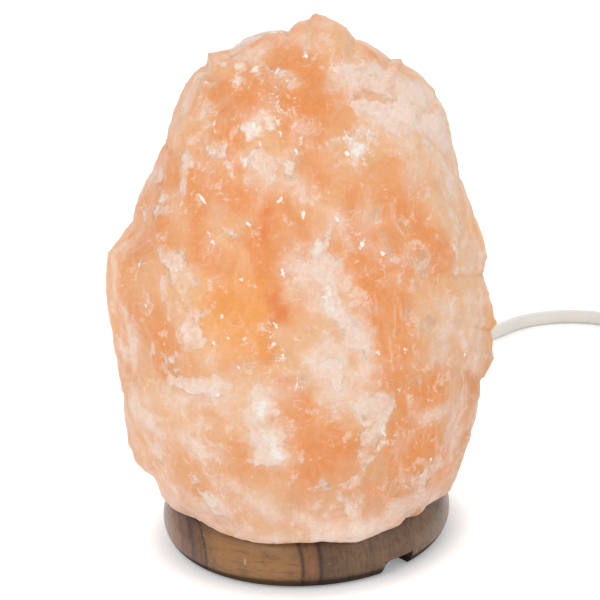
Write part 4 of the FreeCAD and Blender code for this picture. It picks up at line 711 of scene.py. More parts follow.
def relaxed(mesh, points, share, rounds):
    """Each point drawn towards the middle of its neighbours."""
    edges = np.empty(len(mesh.edges) * 2, np.int32)
    mesh.edges.foreach_get("vertices", edges)
    a, b = edges.reshape(-1, 2).T
    count = np.bincount(a, minlength=len(points)) + np.bincount(b, minlength=len(points))
    for _ in range(rounds):
        total = np.stack([np.bincount(a, points[b, k], len(points))
                          + np.bincount(b, points[a, k], len(points)) for k in range(3)], 1)
        points = points + (total / count[:, None] - points) * share[:, None] * 0.5
    return points


def hewn(points, normals, share, count, depth, chance):
    """Small flat faces struck off the outside, none of it deeper than depth."""
    candidates = np.flatnonzero(share > 0.99)
    whole = points
    for _ in range(count):
        index = candidates[chance.randrange(len(candidates))]
        tilt = np.array([chance.uniform(-1, 1) for _ in range(3)]) * CUT_TILT
        way = normals[index] + tilt
        way /= np.linalg.norm(way)
        middle = points[index] - normals[index] * depth * chance.uniform(0.35, 1.0)
        offset = points - middle
        above = np.clip(offset @ way, 0.0, 1.3 * depth)
        near = 1.0 - eased(np.linalg.norm(offset, axis=1), 0.6 * CUT_SPREAD, CUT_SPREAD)
        points = points - way * (above * near * share * 0.92)[:, None]
    cut = np.linalg.norm(points - whole, axis=1)
    return whole + (points - whole) * np.minimum(1.0, depth / np.maximum(cut, 1e-9))[:, None]


def roughened(points, normals, share):
    """Broken salt: swells, ledges and grain."""
    lift = np.empty(len(points))
    for i, point in enumerate(points):
        p = Vector(point)
        swell = noise.noise(p * 38.0)
        ledge = noise.ridged_multi_fractal(p * 70.0, 0.9, 2.1, 3, 0.8, 1.6) - 1.0
        grain = noise.noise(p * 260.0)
        lift[i] = 0.0009 * swell - 0.0005 * ledge + 0.00022 * grain + 0.0003
    return points + normals * (lift * share)[:, None]


def around(across, level):
    """Direction, in degrees, and distance from the middle of the outline."""
    across = across - OUTLINE_CENTRE[0]
    level = level - OUTLINE_CENTRE[1]
    return np.degrees(np.arctan2(level, across)) % 360.0, np.hypot(across, level)


def seen_from(points, eye):
    """Each point's place on the upright plane through the axis, as the camera sees it, and its distance."""
    reach = (points[:, 1] - eye[1]) / -eye[1]
    return eye + (points - eye) / reach[:, None], reach


def drawn_to_outline(points, share, eye):
    """The outside, pulled to the outline in the photograph, outwards from the middle of it."""
    across, level = np.array([*LEFT_OUTLINE, *RIGHT_OUTLINE]).T * MM
    outline_angle, outline_radius = around(across, level)
    slot_angle = (np.arange(OUTLINE_SLOTS) + 0.5) * 360.0 / OUTLINE_SLOTS
    for _ in range(3):
        seen, reach = seen_from(points, eye)
        angle, radius = around(seen[:, 0], seen[:, 2])
        slots = (angle * OUTLINE_SLOTS / 360.0).astype(int) % OUTLINE_SLOTS
        outer = share > 0.3
        have = np.full(OUTLINE_SLOTS, 0.01)
        np.maximum.at(have, slots[outer], radius[outer])
        have = np.interp(angle, slot_angle, have, period=360.0)
        want = np.interp(angle, outline_angle, outline_radius, period=360.0)
        edge = eased(radius / have, 0.55, 0.97)
        below = eased(angle, 230.0, 240.0) * (1.0 - eased(angle, 300.0, 310.0))
        stretch = radius * (np.clip(want / have, 0.85, 1.15) - 1.0) * edge * (1.0 - below) * share * reach
        points = points.copy()
        points[:, 0] += stretch * np.cos(np.radians(angle))
        points[:, 2] += stretch * np.sin(np.radians(angle))
    return points


def drawn_to_lower_edge(points, share):
    """The crystal's lower edge, as far out as the photograph shows it."""
    angle, want = np.array(LOWER_EDGE).T
    azimuth = np.degrees(np.arctan2(points[:, 1], points[:, 0])) % 360.0
    radius = np.hypot(points[:, 0], points[:, 1])
    low = points[:, 2] < BASE_TOP + 0.002
    slots = (azimuth * EDGE_SLOTS / 360.0).astype(int)
    have = np.full(EDGE_SLOTS, 1e-4)
    np.maximum.at(have, slots[low], radius[low])
    ratio = np.interp(azimuth, angle, want) * MM / have[slots]
    facing = eased(azimuth, 190.0, 200.0) * (1.0 - eased(azimuth, 338.0, 348.0))
    near = 1.0 - eased(points[:, 2], BASE_TOP + 0.002, BASE_TOP + 0.014)
    factor = 1.0 + (np.clip(ratio, 0.85, 1.15) - 1.0) * facing * near * (share > 0)
    points = points.copy()
    points[:, :2] *= factor[:, None]
    return points


def bent(points):
    """The points pushed about, so that what is measured from them gets a wandering edge."""
    noise.seed_set(FACE_SEED)       # noise vectors would differ from run to run without it
    moved = np.empty_like(points)
    for i, point in enumerate(points):
        p = Vector(point)
        moved[i] = p + noise.noise_vector(p * 55.0) * 0.0045 + noise.noise_vector(p * 150.0) * 0.0022
    return moved


def mark_field(points, strokes):
    """How far inside the nearest stroke each point is, in millimetres, below zero outside."""
    field = np.full(len(points), -MARK_REACH)
    for start, end, width in strokes:
        line = end - start
        along = np.clip(((points - start) @ line) / max(line @ line, 1e-12), 0.0, 1.0)
        gap = np.linalg.norm(points - start - along[:, None] * line, axis=1)
        field = np.maximum(field, (width - gap) / MM)
    return field


class Crystal:
    """The crystal's mesh and what is marked on it."""

    def __init__(self, stage, look):
        self.look = look
        self.view = camera_matrix(stage)
        self.distance = stage.distance
        self.eye = np.array(self.view.translation)
        self.chance = random.Random(FACE_SEED)
        self.mesh = self.shape()
        self.tree = BVHTree.FromPolygons([v.co for v in self.mesh.vertices],
                                         [p.vertices for p in self.mesh.polygons])

    def shape(self):
        mesh = even_mesh("salt_crystal", self.look.grain)
        points = mesh_points(mesh)
        share = outside_share(points)
        points = relaxed(mesh, points, share, SMOOTHING_ROUNDS)
        set_points(mesh, points)
        points = hewn(points, mesh_normals(mesh), share, self.look.chip_count, self.look.chip_depth,
                      self.chance)
        set_points(mesh, points)
        points = roughened(points, mesh_normals(mesh), share)
        points = drawn_to_outline(points, share, self.eye)
        points = drawn_to_lower_edge(points, share)
        points[:, 2] = np.clip(points[:, 2], BASE_TOP, CAD_BOX[1].z)
        points[:, 0] = np.maximum(points[:, 0], CAD_BOX[0].x)
        set_points(mesh, points)
        mesh.shade_smooth()
        return mesh

    def met_by_view(self, right, up):
        """Where the line of sight through a place in the view meets the crystal."""
        way = self.view.to_3x3() @ Vector((right * MM, up * MM, -self.distance))
        return self.tree.ray_cast(self.view.translation, way.normalized())[0]

    def met_from_side(self, azimuth, height):
        out = Vector((math.cos(azimuth), math.sin(azimuth), 0.0))
        return self.tree.ray_cast(out * 0.3 + Vector((0, 0, height)), -out)[0]

    def strokes(self, marks):
        """The marks as lines on the surface; one that misses the crystal is left out."""
        found = []
        for x1, y1, x2, y2, width in marks:
            start = self.met_by_view(x1, y1)
            end = self.met_by_view(x2, y2)
            if start and end:
                found.append((np.array(start), np.array(end), width * MM))
        return found

    def far_strokes(self, count, widths, length):
        """Marks of the same kind on the sides that face away from the room."""
        found = []
        while len(found) < count:
            azimuth = math.radians(self.chance.uniform(8.0, 172.0))
            height = self.chance.uniform(0.03, 0.2)
            start = self.met_from_side(azimuth, height)
            end = self.met_from_side(azimuth + self.chance.uniform(-0.2, 0.2),
                                     min(height + self.chance.uniform(0.0, length), 0.205))
            if start and end:
                found.append((np.array(start), np.array(end), self.chance.uniform(*widths)))
        return found

    # Painted glow of the bulb on the sides that face away from the room
    def far_glow(self):
        places = [self.met_from_side(math.radians(a), 0.1) for a in (0.0, 60.0, 120.0, 180.0)]
        return [(np.array(p), np.array(p) + np.array((0, 0, 0.02)), 0.022) for p in places]

    def mark_all(self):
        """Writes each kind of mark on the mesh, as an attribute that the material reads."""
        far = self.far_strokes
        marks = {
            "cloud": self.strokes(CLOUDS_AND_RIM_LIGHT) + far(22, (0.004, 0.010), 0.04),
            "pale": self.strokes(PALE_FLAKES) + far(34, (0.002, 0.007), 0.03),
            "orange": self.strokes(ORANGE_ZONES) + far(30, (0.005, 0.012), 0.05),
            "rust": self.strokes(RUST_SPOTS) + far(6, (0.0015, 0.003), 0.01),
            "glow": self.strokes(GLOW_ZONES) + self.far_glow(),
            "grey": self.strokes(GREY_PATCHES) + far(12, (0.002, 0.004), 0.015),
            "bright": self.strokes(BRIGHT_PATCHES) + far(8, (0.0015, 0.003), 0.01),
            "sparkle": self.strokes(SPARKLING) + far(10, (0.004, 0.010), 0.03),
        }
        points = bent(mesh_points(self.mesh))
        for name, strokes in marks.items():
            attribute = self.mesh.attributes.new(name, "FLOAT", "POINT")
            attribute.data.foreach_set("value", mark_field(points, strokes).astype(np.float32))


class SaltGraph(Graph):
    """The nodes of clouded salt: its noises, and the marks on the crystal, torn at their edges."""

    def __init__(self, tree):
        super().__init__(tree)
        self.spot = self.place()
        self.loose = self.warped(self.spot, 45.0, 0.016)
        self.broad = self.noise(self.loose, 26.0, 4.0, 0.55)
        self.cloudy = self.noise(self.shifted(self.loose, (0.3, 0.1, 0.2)), 62.0, 6.0, 0.6)
        self.torn = self.noise(self.warped(self.spot, 160.0, 0.004), 150.0, 7.0, 0.66)
        self.fine = self.noise(self.spot, 520.0, 4.0, 0.65)

    def reach(self, name, ragged, wander=0.0):
        """How far inside a mark, in millimetres, with an edge torn this much and wandering this much."""
        pushed = self.plus(self.mark(name), self.times(self.less(self.torn, 0.5), ragged))
        return self.plus(pushed, self.times(self.less(self.cloudy, 0.5), wander)) if wander else pushed

    def edge(self, name, ragged, low, high, wander=0.0):
        return self.step(self.reach(name, ragged, wander), low, high)

    def over(self, share, amount, colour, paint):
        return self.mix(self.times(share, amount), colour, opaque(paint))


def salt_zones(graph, look):
    """The salt's broad colours, with clouds and fibres, painted shade low down and on the right, a painted
    pale rim and the bulb's painted glow.
    """
    across, _, height = graph.axes(graph.spot)
    right = graph.step(across, 0.0, 0.05)
    colour = graph.mix(graph.step(graph.broad, 0.36, 0.7), opaque(look.peach), opaque(look.orange))
    # Painted shade: darker towards the bottom of the crystal
    colour = graph.over(graph.step(height, 0.075, 0.03), 0.45, colour, look.lower_painted_shade)
    # Painted shade: duller low on the right-hand side
    colour = graph.over(graph.times(right, graph.step(height, 0.11, 0.06)), 0.5, colour, look.tan)
    colour = graph.over(graph.edge("orange", 7.0, -5.0, 4.0, 15.0), 0.85, colour, look.orange)
    # Painted glow of the bulb, as colour
    colour = graph.over(graph.edge("glow", 6.0, -10.0, 7.0, 12.0), 0.75, colour, look.painted_bulb_glow)
    colour = graph.over(graph.edge("rust", 8.0, -3.0, 4.0), 0.8, colour, look.rust)
    colour = graph.over(graph.edge("grey", 8.0, -1.6, 1.6), 0.6, colour, look.grey)
    colour = graph.over(graph.step(graph.cloudy, 0.46, 0.8), 0.5, colour, look.pale)
    # Clouded salt, and the painted pale rim along the outline
    cloud = graph.reach("cloud", 9.0, 18.0)
    thin = graph.step(graph.torn, 0.32, 0.66, 0.4, 0.75)
    colour = graph.over(graph.step(cloud, -6.0, 6.0), thin, colour, look.pale)
    dense = graph.step(graph.fine, 0.35, 0.65, 0.1, 0.5)
    colour = graph.over(graph.step(cloud, 0.0, 4.5), dense, colour, look.pale)
    sole = graph.step(height, BASE_TOP + 0.016, BASE_TOP + 0.004)
    colour = graph.over(graph.times(sole, graph.step(graph.cloudy, 0.4, 0.6)), 0.65, colour, look.pale)
    upright = graph.scaled(graph.warped(graph.spot, 22.0, 0.03), (1.0, 1.0, 0.14))
    streak = graph.step(graph.noise(upright, 300.0, 4.0, 0.65), 0.52, 0.72)
    return graph.over(streak, graph.step(right, 0.0, 1.0, 0.16, 0.45), colour, look.pale)


def salt_flakes(graph, look, colour):
    """The colour with torn pale flakes and hairlines over it, and where the flakes are."""
    torn_edge = graph.reach("pale", 11.0, 9.0)
    fading = graph.noise(graph.shifted(graph.loose, (0.7, 0.2, 0.4)), 85.0, 4.0, 0.6)
    fading = graph.greater(graph.step(fading, 0.38, 0.6, 0.15, 1.0), graph.step(torn_edge, 1.8, 4.2))
    flake = graph.times(graph.step(torn_edge, -0.7, 0.7), fading)
    colour = graph.over(flake, graph.step(graph.fine, 0.35, 0.62, 0.5, 0.9), colour, look.pale)
    border = graph.times(graph.step(graph.gap(torn_edge), 0.5, 0.1), fading)
    colour = graph.over(border, graph.step(graph.cloudy, 0.46, 0.62, 0.0, 0.55), colour, look.white)
    colour = graph.over(graph.step(graph.torn, 0.57, 0.63), 0.5, colour, look.pale)
    wandering = graph.noise(graph.warped(graph.spot, 90.0, 0.01), 70.0, 4.0, 0.55)
    hairline = graph.step(graph.gap(wandering, 0.52), 0.007, 0.0)
    colour = graph.over(hairline, graph.step(graph.cloudy, 0.45, 0.62, 0.0, 0.5), colour, look.white)
    return colour, flake


def salt_glints(graph, crowded):
    """Where broken faces would flash, painted as highlights: squiggles and blotches where marks crowd them,
    and specks all over.
    """
    dense = graph.edge("sparkle", 6.0, 0.0, 2.6)
    squiggle = graph.noise(graph.warped(graph.spot, 300.0, 0.003), 330.0, 3.0, 0.6)
    squiggle = graph.step(graph.gap(squiggle, 0.5), graph.step(dense, 0.0, 1.0, 0.02, 0.045),
                          graph.step(dense, 0.0, 1.0, 0.008, 0.02))
    squiggle = graph.times(squiggle, graph.step(graph.fine, 0.46, 0.56))
    blotch = graph.scaled(graph.warped(graph.spot, 120.0, 0.006), (1.0, 1.0, 0.55))
    blotch = graph.step(graph.noise(blotch, 560.0, 3.0, 0.6), graph.step(dense, 0.0, 1.0, 0.59, 0.54),
                        graph.step(dense, 0.0, 1.0, 0.63, 0.6))
    glint = graph.times(graph.greater(squiggle, blotch), crowded)
    speck = graph.step(graph.cells(graph.warped(graph.spot, 500.0, 0.001), 330.0), 0.25, 0.17)
    chosen = graph.step(graph.noise(graph.spot, 170.0, 1.0), 0.63, 0.68)
    chosen = graph.times(chosen, graph.step(crowded, 0.0, 1.0, 0.3, 1.0))
    return graph.greater(glint, graph.times(speck, chosen))


def rock_salt(look):
    """Clouded orange salt: veils, torn flakes, iron stains, fibres and hairlines, with painted glints,
    painted shade, a painted pale rim and the painted glow of the bulb.
    """
    material = bpy.data.materials.new("rock salt")
    material.use_nodes = True
    graph = SaltGraph(material.node_tree)
    colour, flake = salt_flakes(graph, look, salt_zones(graph, look))
    # Painted highlights: glints where broken faces would flash, white in colour and in light of their own
    crowded = graph.edge("sparkle", 7.0, -1.6, 1.8)
    glint = salt_glints(graph, crowded)
    # White patches, partly painted highlights
    bright = graph.edge("bright", 9.0, -1.0, 1.6)
    colour = graph.over(bright, graph.step(graph.torn, 0.35, 0.6, 0.4, 0.85), colour, look.white)
    colour = graph.over(glint, 0.9, colour, look.white)
    shade = graph.times(graph.step(graph.fine, 0.25, 0.75, 0.95, 1.03),
                        graph.step(graph.torn, 0.3, 0.55, 0.965, 1.01))
    shade = graph.node("ShaderNodeCombineColor", {0: shade, 1: shade, 2: shade})
    colour = graph.mix(1.0, colour, shade, "MULTIPLY")
    relief = graph.plus(graph.times(graph.torn, 0.7), graph.times(flake, 0.3))
    relief = graph.plus(relief, graph.times(graph.fine, graph.step(crowded, 0.0, 1.0, 0.1, 0.5)))
    # Painted light of the salt's own: the bulb's glow through it, and the glints
    shining = graph.times(graph.step(graph.mark("glow"), -11.0, 10.0), graph.step(flake, 1.0, 0.0, 0.5, 1.0))
    lit = graph.mix(shining, opaque((0.0, 0.0, 0.0)), opaque(look.painted_bulb_glow))
    lit = graph.mix(glint, lit, opaque(look.white))
    finish(graph, {
        "Base Color": colour,
        "Roughness": graph.step(graph.torn, 0.35, 0.65, 0.3, 0.55),
        "Specular IOR Level": 0.35,
        "Sheen Weight": 0.6,
        "Sheen Roughness": 0.4,
        "Sheen Tint": opaque(look.pale),
        "Subsurface Weight": 0.35,
        "Subsurface Radius": (1.0, 0.45, 0.22),
        "Subsurface Scale": 0.003,
        "Emission Color": lit,
        "Emission Strength": look.glow,
        "Normal": graph.bump(relief, 0.0010, 0.85),
    })
    return material


def fresh_break(look):
    """The bright faces of small chips of salt, with a faint painted glow of their own."""
    material, graph = new_material("freshly broken salt")
    place = graph.place()
    veil = graph.noise(place, 500.0, 3.0)
    colour = graph.mix(graph.step(veil, 0.4, 0.7), opaque(look.white), opaque(look.pale))
    # A faint painted glow of their own
    finish(graph, {"Base Color": colour, "Roughness": graph.step(veil, 0.3, 0.7, 0.12, 0.35),
                   "Emission Color": opaque(look.white), "Emission Strength": 0.05,
                   "Normal": graph.bump(graph.cells(place, 900.0), 0.0002)})
    return material


def shard(whole, place, normal, along, length, width, chance):
    """One small broken crystal, mostly sunk in the surface."""
    side = normal.cross(along)
    if side.length < 1e-6:
        side = normal.orthogonal()
    side.normalize()
    along = side.cross(normal)
    corners = []
    for level, spread in ((-0.7, 1.0), (0.15, 0.75)):
        for k in range(6):
            angle = (k + chance.uniform(0.0, 0.9)) * 2 * math.pi / 6
            reach = spread * chance.uniform(0.55, 1.2)
            lift = (level + chance.uniform(-0.1, 0.25)) * width
            corners.append(place + along * (math.cos(angle) * reach * length)
                           + side * (math.sin(angle) * reach * width) + normal * lift)
    verts = [whole.verts.new(c) for c in corners]
    bmesh.ops.convex_hull(whole, input=verts)


class SALTLAMP_OT_crystal(bpy.types.Operator):
    """The hewn salt crystal, with its marks, its chips and its glints"""
    bl_idname = "salt_lamp.crystal"
    bl_label = "Salt crystal"

    def execute(self, context):
        look = settings("salt_lamp_crystal")
        crystal = Crystal(settings("salt_lamp_stage"), look)
        crystal.mark_all()
        piece = new_piece("crystal", crystal.mesh, rock_salt(look), CRYSTAL_BODY)
        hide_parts("salt_crystal")
        broken = fresh_break(look)
        self.chips(crystal, broken)
        self.glints(crystal, broken)
        return {"FINISHED"}

    def chips(self, crystal, material):
        """Small broken crystals that stand out of the surface."""
        whole = bmesh.new()
        chance = crystal.chance

        def stray():
            return Vector([chance.uniform(-1.0, 1.0) for _ in range(3)])

        for x1, y1, x2, y2, width in CHIPS:
            start = crystal.met_by_view(x1, y1)
            end = crystal.met_by_view(x2, y2)
            if start and end:
                reach = (end - start).length / 2 + 0.6 * width * MM
                for size in CHIP_SIZES:
                    middle = start.lerp(end, 0.5 + (1.0 - size) * chance.uniform(-0.9, 0.9))
                    middle += stray() * (1.0 - size) * width * MM
                    place, normal = crystal.tree.find_nearest(middle)[:2]
                    tilted = (normal + 0.35 * stray()).normalized()
                    shard(whole, place, tilted, end - start, reach * size, width * size * MM, chance)
        for start, end, width in crystal.far_strokes(FAR_CHIPS, (0.0008, 0.0018), 0.006):
            place, normal = crystal.tree.find_nearest(Vector(start))[:2]
            shard(whole, place, normal, Vector(end - start), 1.8 * width, width, chance)
        piece = new_piece("crystal_chips", mesh_from(whole, "crystal_chips"), material, CRYSTAL_BODY)

    def glints(self, crystal, material):
        """Grains of broken salt, scattered by Geometry Nodes where the crystal sparkles."""
        graph, given = geometry_tree("Glints", ("Density", "Size"), ("Seed",))
        field = graph.node("GeometryNodeInputNamedAttribute", {"Name": "sparkle"}, data_type="FLOAT")
        crowd = graph.node("ShaderNodeMapRange", {"Value": field, "From Min": -1.0, "From Max": 1.5})
        density = graph.times(crowd, given["Density"])
        scatter = graph.node("GeometryNodeDistributePointsOnFaces",
                             {"Mesh": given["Geometry"], "Density": density, "Seed": given["Seed"]})
        grain = graph.node("GeometryNodeMeshIcoSphere", {"Radius": 1.0, "Subdivisions": 1})
        spin = graph.node("FunctionNodeRandomValue",
                          {0: (0, 0, 0), 1: (6.3, 6.3, 6.3), "Seed": given["Seed"]}, data_type="FLOAT_VECTOR")
        size = graph.node("FunctionNodeRandomValue",
                          {0: (0.3, 0.2, 0.2), 1: (1.5, 0.6, 0.6), "Seed": given["Seed"]},
                          data_type="FLOAT_VECTOR")
        size = graph.node("ShaderNodeVectorMath", {0: size, "Scale": given["Size"]}, operation="SCALE")
        placed = graph.node("GeometryNodeInstanceOnPoints",
                            {"Points": scatter, "Instance": grain, "Rotation": spin, "Scale": size})
        values = {"Density": GLINT_DENSITY, "Size": GLINT_SIZE, "Seed": FACE_SEED, "Material": material}
        mesh = grown(crystal.mesh.copy(), end_tree(graph, placed, given), values)
        piece = new_piece("crystal_glints", mesh, None, CRYSTAL_BODY)


# ---------------------------------------------------------------- wooden base
# The wood's bands, from left to right across the base: millimetres from its axis, tone, and how bright.
WOOD_BANDS = (
    (-57.5, "grey", 0.80), (-51.0, "warm", 1.00), (-49.0, "warm", 0.60), (-46.9, "warm", 0.85),
    (-45.0, "dark", 1.80), (-42.8, "warm", 0.65), (-40.6, "warm", 0.75), (-39.6, "dark", 1.00),
    (-38.8, "light", 0.72), (-34.0, "light", 1.00), (-12.0, "light", 1.00), (-3.6, "light", 0.80),
    (-2.2, "dark", 1.30), (-1.1, "warm", 0.90), (3.2, "warm", 1.05), (4.8, "dark", 1.00),
    (6.4, "grey", 0.66), (11.0, "grey", 0.84), (23.5, "grey", 1.00), (25.0, "grey", 0.80),
    (29.5, "grey", 1.05), (37.0, "grey", 0.80), (44.0, "grey", 1.00), (57.5, "grey", 0.85),
)
WOOD_HALF_WIDTH = 57.5
RING_BEND = 18.0            # the year rings bow to the right halfway up the side
RING_MIDDLE = 0.010
GROOVE_WAY = (0.788, 0.6157, 0.0)       # across the groove in the underside that the cord lies in
GROOVE_HALF_WIDTH = 0.0072
GROOVE_ROOF = 0.0075
GROOVE_EASE = 0.0003
# Painted shade along the base's lower edge
PAINTED_SHADE_EDGE = (0.0066, 0.0034)          # heights at which the lower edge starts to darken, and is dark
WOOD_SCRATCHES = ((-0.0309, -0.0485, 0.0164), (-0.0246, -0.0520, 0.0123))


def wood_bands(graph, look, across):
    """The colour of the wood's bands."""
    half = WOOD_HALF_WIDTH * MM
    share = graph.node("ShaderNodeMapRange", {"Value": across, "From Min": -half, "From Max": half})
    bands = graph.node("ShaderNodeValToRGB", {0: share})
    stops = bands.node.color_ramp.elements
    while len(stops) < len(WOOD_BANDS):
        stops.new(0.5)
    for stop, (right, _, _) in zip(stops, WOOD_BANDS):
        stop.position = (right + WOOD_HALF_WIDTH) / (2 * WOOD_HALF_WIDTH)
    for stop, (_, tone, brightness) in zip(stops, WOOD_BANDS):
        stop.color = opaque([c * brightness for c in getattr(look, tone)])
    return bands


def wood_lines(graph, place, across):
    """Fibres: level on the golden band, upright beside it."""
    golden = graph.times(graph.step(across, -0.037, -0.034), graph.step(across, 0.0, -0.006))
    upright = graph.noise(graph.scaled(place, (1.0, 1.0, 0.06)), 800.0, 4.0, 0.65)
    level = graph.noise(graph.scaled(graph.warped(place, 60.0, 0.003), (0.1, 0.1, 1.0)), 700.0, 4.0, 0.65)
    return graph.plus(graph.times(graph.step(upright, 0.42, 0.66), graph.less(1.0, golden)),
                      graph.times(graph.step(level, 0.5, 0.7), golden))


def wood_dust(graph, place):
    """Specks of dust and a few light scratches."""
    dust = graph.step(graph.cells(place, 420.0), 0.11, 0.06)
    dust = graph.times(dust, graph.step(graph.noise(place, 90.0), 0.5, 0.62))
    for x, y, z in WOOD_SCRATCHES:
        offset = graph.scaled(graph.shifted(place, (-x, -y, -z)), (1.0, 1.0, 0.28))
        dust = graph.greater(dust, graph.step(graph.length(offset), 0.0007, 0.0003))
    return dust


def walnut(look):
    """Turned and waxed dark wood: year rings, fibres, pores and scratches, with painted shade along its lower
    edge, in the cord's groove and under the crystal.
    """
    material, graph = new_material("waxed walnut")
    place = graph.place()
    dark = opaque(look.dark)
    across, _, height = graph.axes(graph.warped(place, 40.0, 0.0028))
    rise = graph.less(height, RING_MIDDLE)
    across = graph.plus(across, graph.times(graph.times(rise, rise), RING_BEND))
    lines = wood_lines(graph, place, across)
    colour = graph.mix(graph.times(lines, 0.4), wood_bands(graph, look, across), dark)
    blotchy = graph.noise(graph.scaled(graph.warped(place, 30.0, 0.01), (1.0, 1.0, 1.6)), 110.0, 4.0, 0.6)
    colour = graph.mix(graph.step(blotchy, 0.5, 0.3, 0.0, 0.35), colour, dark)
    pores = graph.noise(graph.scaled(place, (0.35, 0.35, 1.0)), 1500.0, 2.0)
    colour = graph.mix(graph.step(pores, 0.62, 0.7, 0.0, 0.35), colour, dark)
    colour = graph.mix(graph.times(wood_dust(graph, place), 0.7), colour, opaque(look.scratch))
    level = graph.axes(place)[2]
    # Painted shade: darker inside the cord's groove in the underside and along the lower edge; the wax's
    # gloss is also taken away there
    aside = graph.node("ShaderNodeVectorMath", {0: place, 1: GROOVE_WAY}, out="Value",
                       operation="DOT_PRODUCT")
    groove = graph.times(graph.step(graph.gap(aside), GROOVE_HALF_WIDTH, GROOVE_HALF_WIDTH - GROOVE_EASE),
                         graph.step(level, GROOVE_ROOF, GROOVE_ROOF - GROOVE_EASE))
    painted_shade_edge_and_groove = graph.greater(groove, graph.step(level, *PAINTED_SHADE_EDGE))
    # Painted shade: darker near the top of the base, under the crystal's edge
    painted_shade_under_crystal = graph.step(level, BASE_TOP - 0.0055, BASE_TOP - 0.0005)
    colour = graph.mix(graph.times(painted_shade_under_crystal, 0.45), colour, dark)
    colour = graph.mix(graph.times(painted_shade_edge_and_groove, 0.82), colour, opaque([c * 0.4 for c in look.dark]))
    waxed = graph.times(graph.step(lines, 0.0, 1.0, 0.16, 0.08), graph.less(1.0, painted_shade_edge_and_groove))
    finish(graph, {
        "Base Color": colour,
        "Roughness": graph.greater(graph.step(lines, 0.0, 1.0, 0.3, 0.4), painted_shade_edge_and_groove),
        "Specular IOR Level": 0.3,
        "Coat Weight": waxed,
        "Coat Roughness": 0.25,
        "Normal": graph.bump(graph.less(pores, lines), 0.00004, 0.5),
    })
    return material


class SALTLAMP_OT_base(bpy.types.Operator):
    """The turned wooden base, its feet, and the screws and plugs that hold the crystal"""
    bl_idname = "salt_lamp.base"
    bl_label = "Wooden base"

    def execute(self, context):
        fittings = settings("salt_lamp_fittings")
        cover(walnut(settings("salt_lamp_wood")), "wood_base")
        cover(moulded("foot rubber", tint(28, 27, 26), 0.7, 0.00004), "rubber_feet")
        cover(metal("zinc-plated screws", fittings.steel, 0.35), "base_screws")
        cover(moulded("nylon wall plugs", tint(150, 148, 142), 0.5), "wall_plugs")
        return {"FINISHED"}


# ---------------------------------------------------------------- lamp holder and bulb
class SALTLAMP_OT_holder(bpy.types.Operator):
    """The lamp holder with its sprung clip, threads and contacts"""
    bl_idname = "salt_lamp.holder"
    bl_label = "Lamp holder"

    def execute(self, context):
        fittings = settings("salt_lamp_fittings")
        cover(moulded("black holder plastic", fittings.black, 0.38, 0.00003), "holder_cap", "holder_body")
        cover(moulded("soft white plastic", fittings.white, 0.5), "holder_relief")
        cover(metal("spring steel", fittings.steel, 0.3), "spring_clip", "holder_screws")
        cover(metal("brass", fittings.brass, 0.28), "screw_shell", "centre_contact", "terminal_screws")
        cover(moulded("core insulation", tint(70, 110, 170), 0.4), "holder_wires")
        return {"FINISHED"}


FILAMENT_HALF_SPAN = 0.0042
FILAMENT_RISE = 0.003
FILAMENT_SOLID_RADIUS = 0.0004
FILAMENT_COIL_RADIUS = 0.00030
FILAMENT_WIRE = 0.00016
FILAMENT_TURNS = 34
FILAMENT_STEPS = 12


class SALTLAMP_OT_bulb(bpy.types.Operator):
    """The small screw-in bulb"""
    bl_idname = "salt_lamp.bulb"
    bl_label = "Bulb"

    def execute(self, context):
        fittings = settings("salt_lamp_fittings")
        glass, graph = new_material("clear glass")
        ripple = graph.noise(graph.place(), 120.0)
        finish(graph, {"Base Color": (0.97, 0.98, 0.98, 1.0),
                       "Roughness": graph.step(ripple, 0.3, 0.7, 0.0, 0.03),
                       "IOR": 1.45,
                       "Transmission Weight": 1.0,
                       "Normal": graph.bump(ripple, 0.00002)})
        cover(glass, "bulb_glass", "bulb_stem")
        cover(metal("bulb cap brass", fittings.brass, 0.25), "bulb_cap")
        cover(metal("tin solder", fittings.steel, 0.4), "bulb_tip")
        cover(moulded("black glass", tint(22, 22, 24), 0.15), "bulb_insulator")
        cover(metal("nickel wire", fittings.steel, 0.3), "bulb_leads")
        lit, graph = new_material("lit tungsten")
        warmth = graph.noise(graph.place(), 900.0)
        hot = graph.mix(warmth, opaque(tint(255, 180, 90)), opaque(tint(255, 214, 150)))
        finish(graph, {"Base Color": opaque(tint(120, 100, 80)), "Roughness": 0.5,
                       "Emission Color": hot, "Emission Strength": 25.0})
        lit.cycles.emission_sampling = "NONE"
        self.filament(lit)
        return {"FINISHED"}

    def filament(self, material):
        """The coiled wire between the tips of the two leads."""
        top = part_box("bulb_filament")[1].z - FILAMENT_SOLID_RADIUS - FILAMENT_RISE
        bow = (FILAMENT_HALF_SPAN ** 2 + FILAMENT_RISE ** 2) / (2 * FILAMENT_RISE)
        reach = math.asin(FILAMENT_HALF_SPAN / bow)
        points = []
        steps = FILAMENT_TURNS * FILAMENT_STEPS
        for k in range(steps + 1):
            lean = reach * (2 * k / steps - 1)
            turn = 2 * math.pi * k / FILAMENT_STEPS
            out = bow + FILAMENT_COIL_RADIUS * math.cos(turn)
            points.append((out * math.sin(lean), FILAMENT_COIL_RADIUS * math.sin(turn),
                           top + FILAMENT_RISE - bow + out * math.cos(lean)))
        mesh = grown(path_mesh("filament path", points), wire_tree(),
                     {"Thickness": FILAMENT_WIRE, "Material": material})
        mesh.shade_smooth()
        piece = new_piece("filament_coil", mesh, None, BULB_BODY)
        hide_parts("bulb_filament")


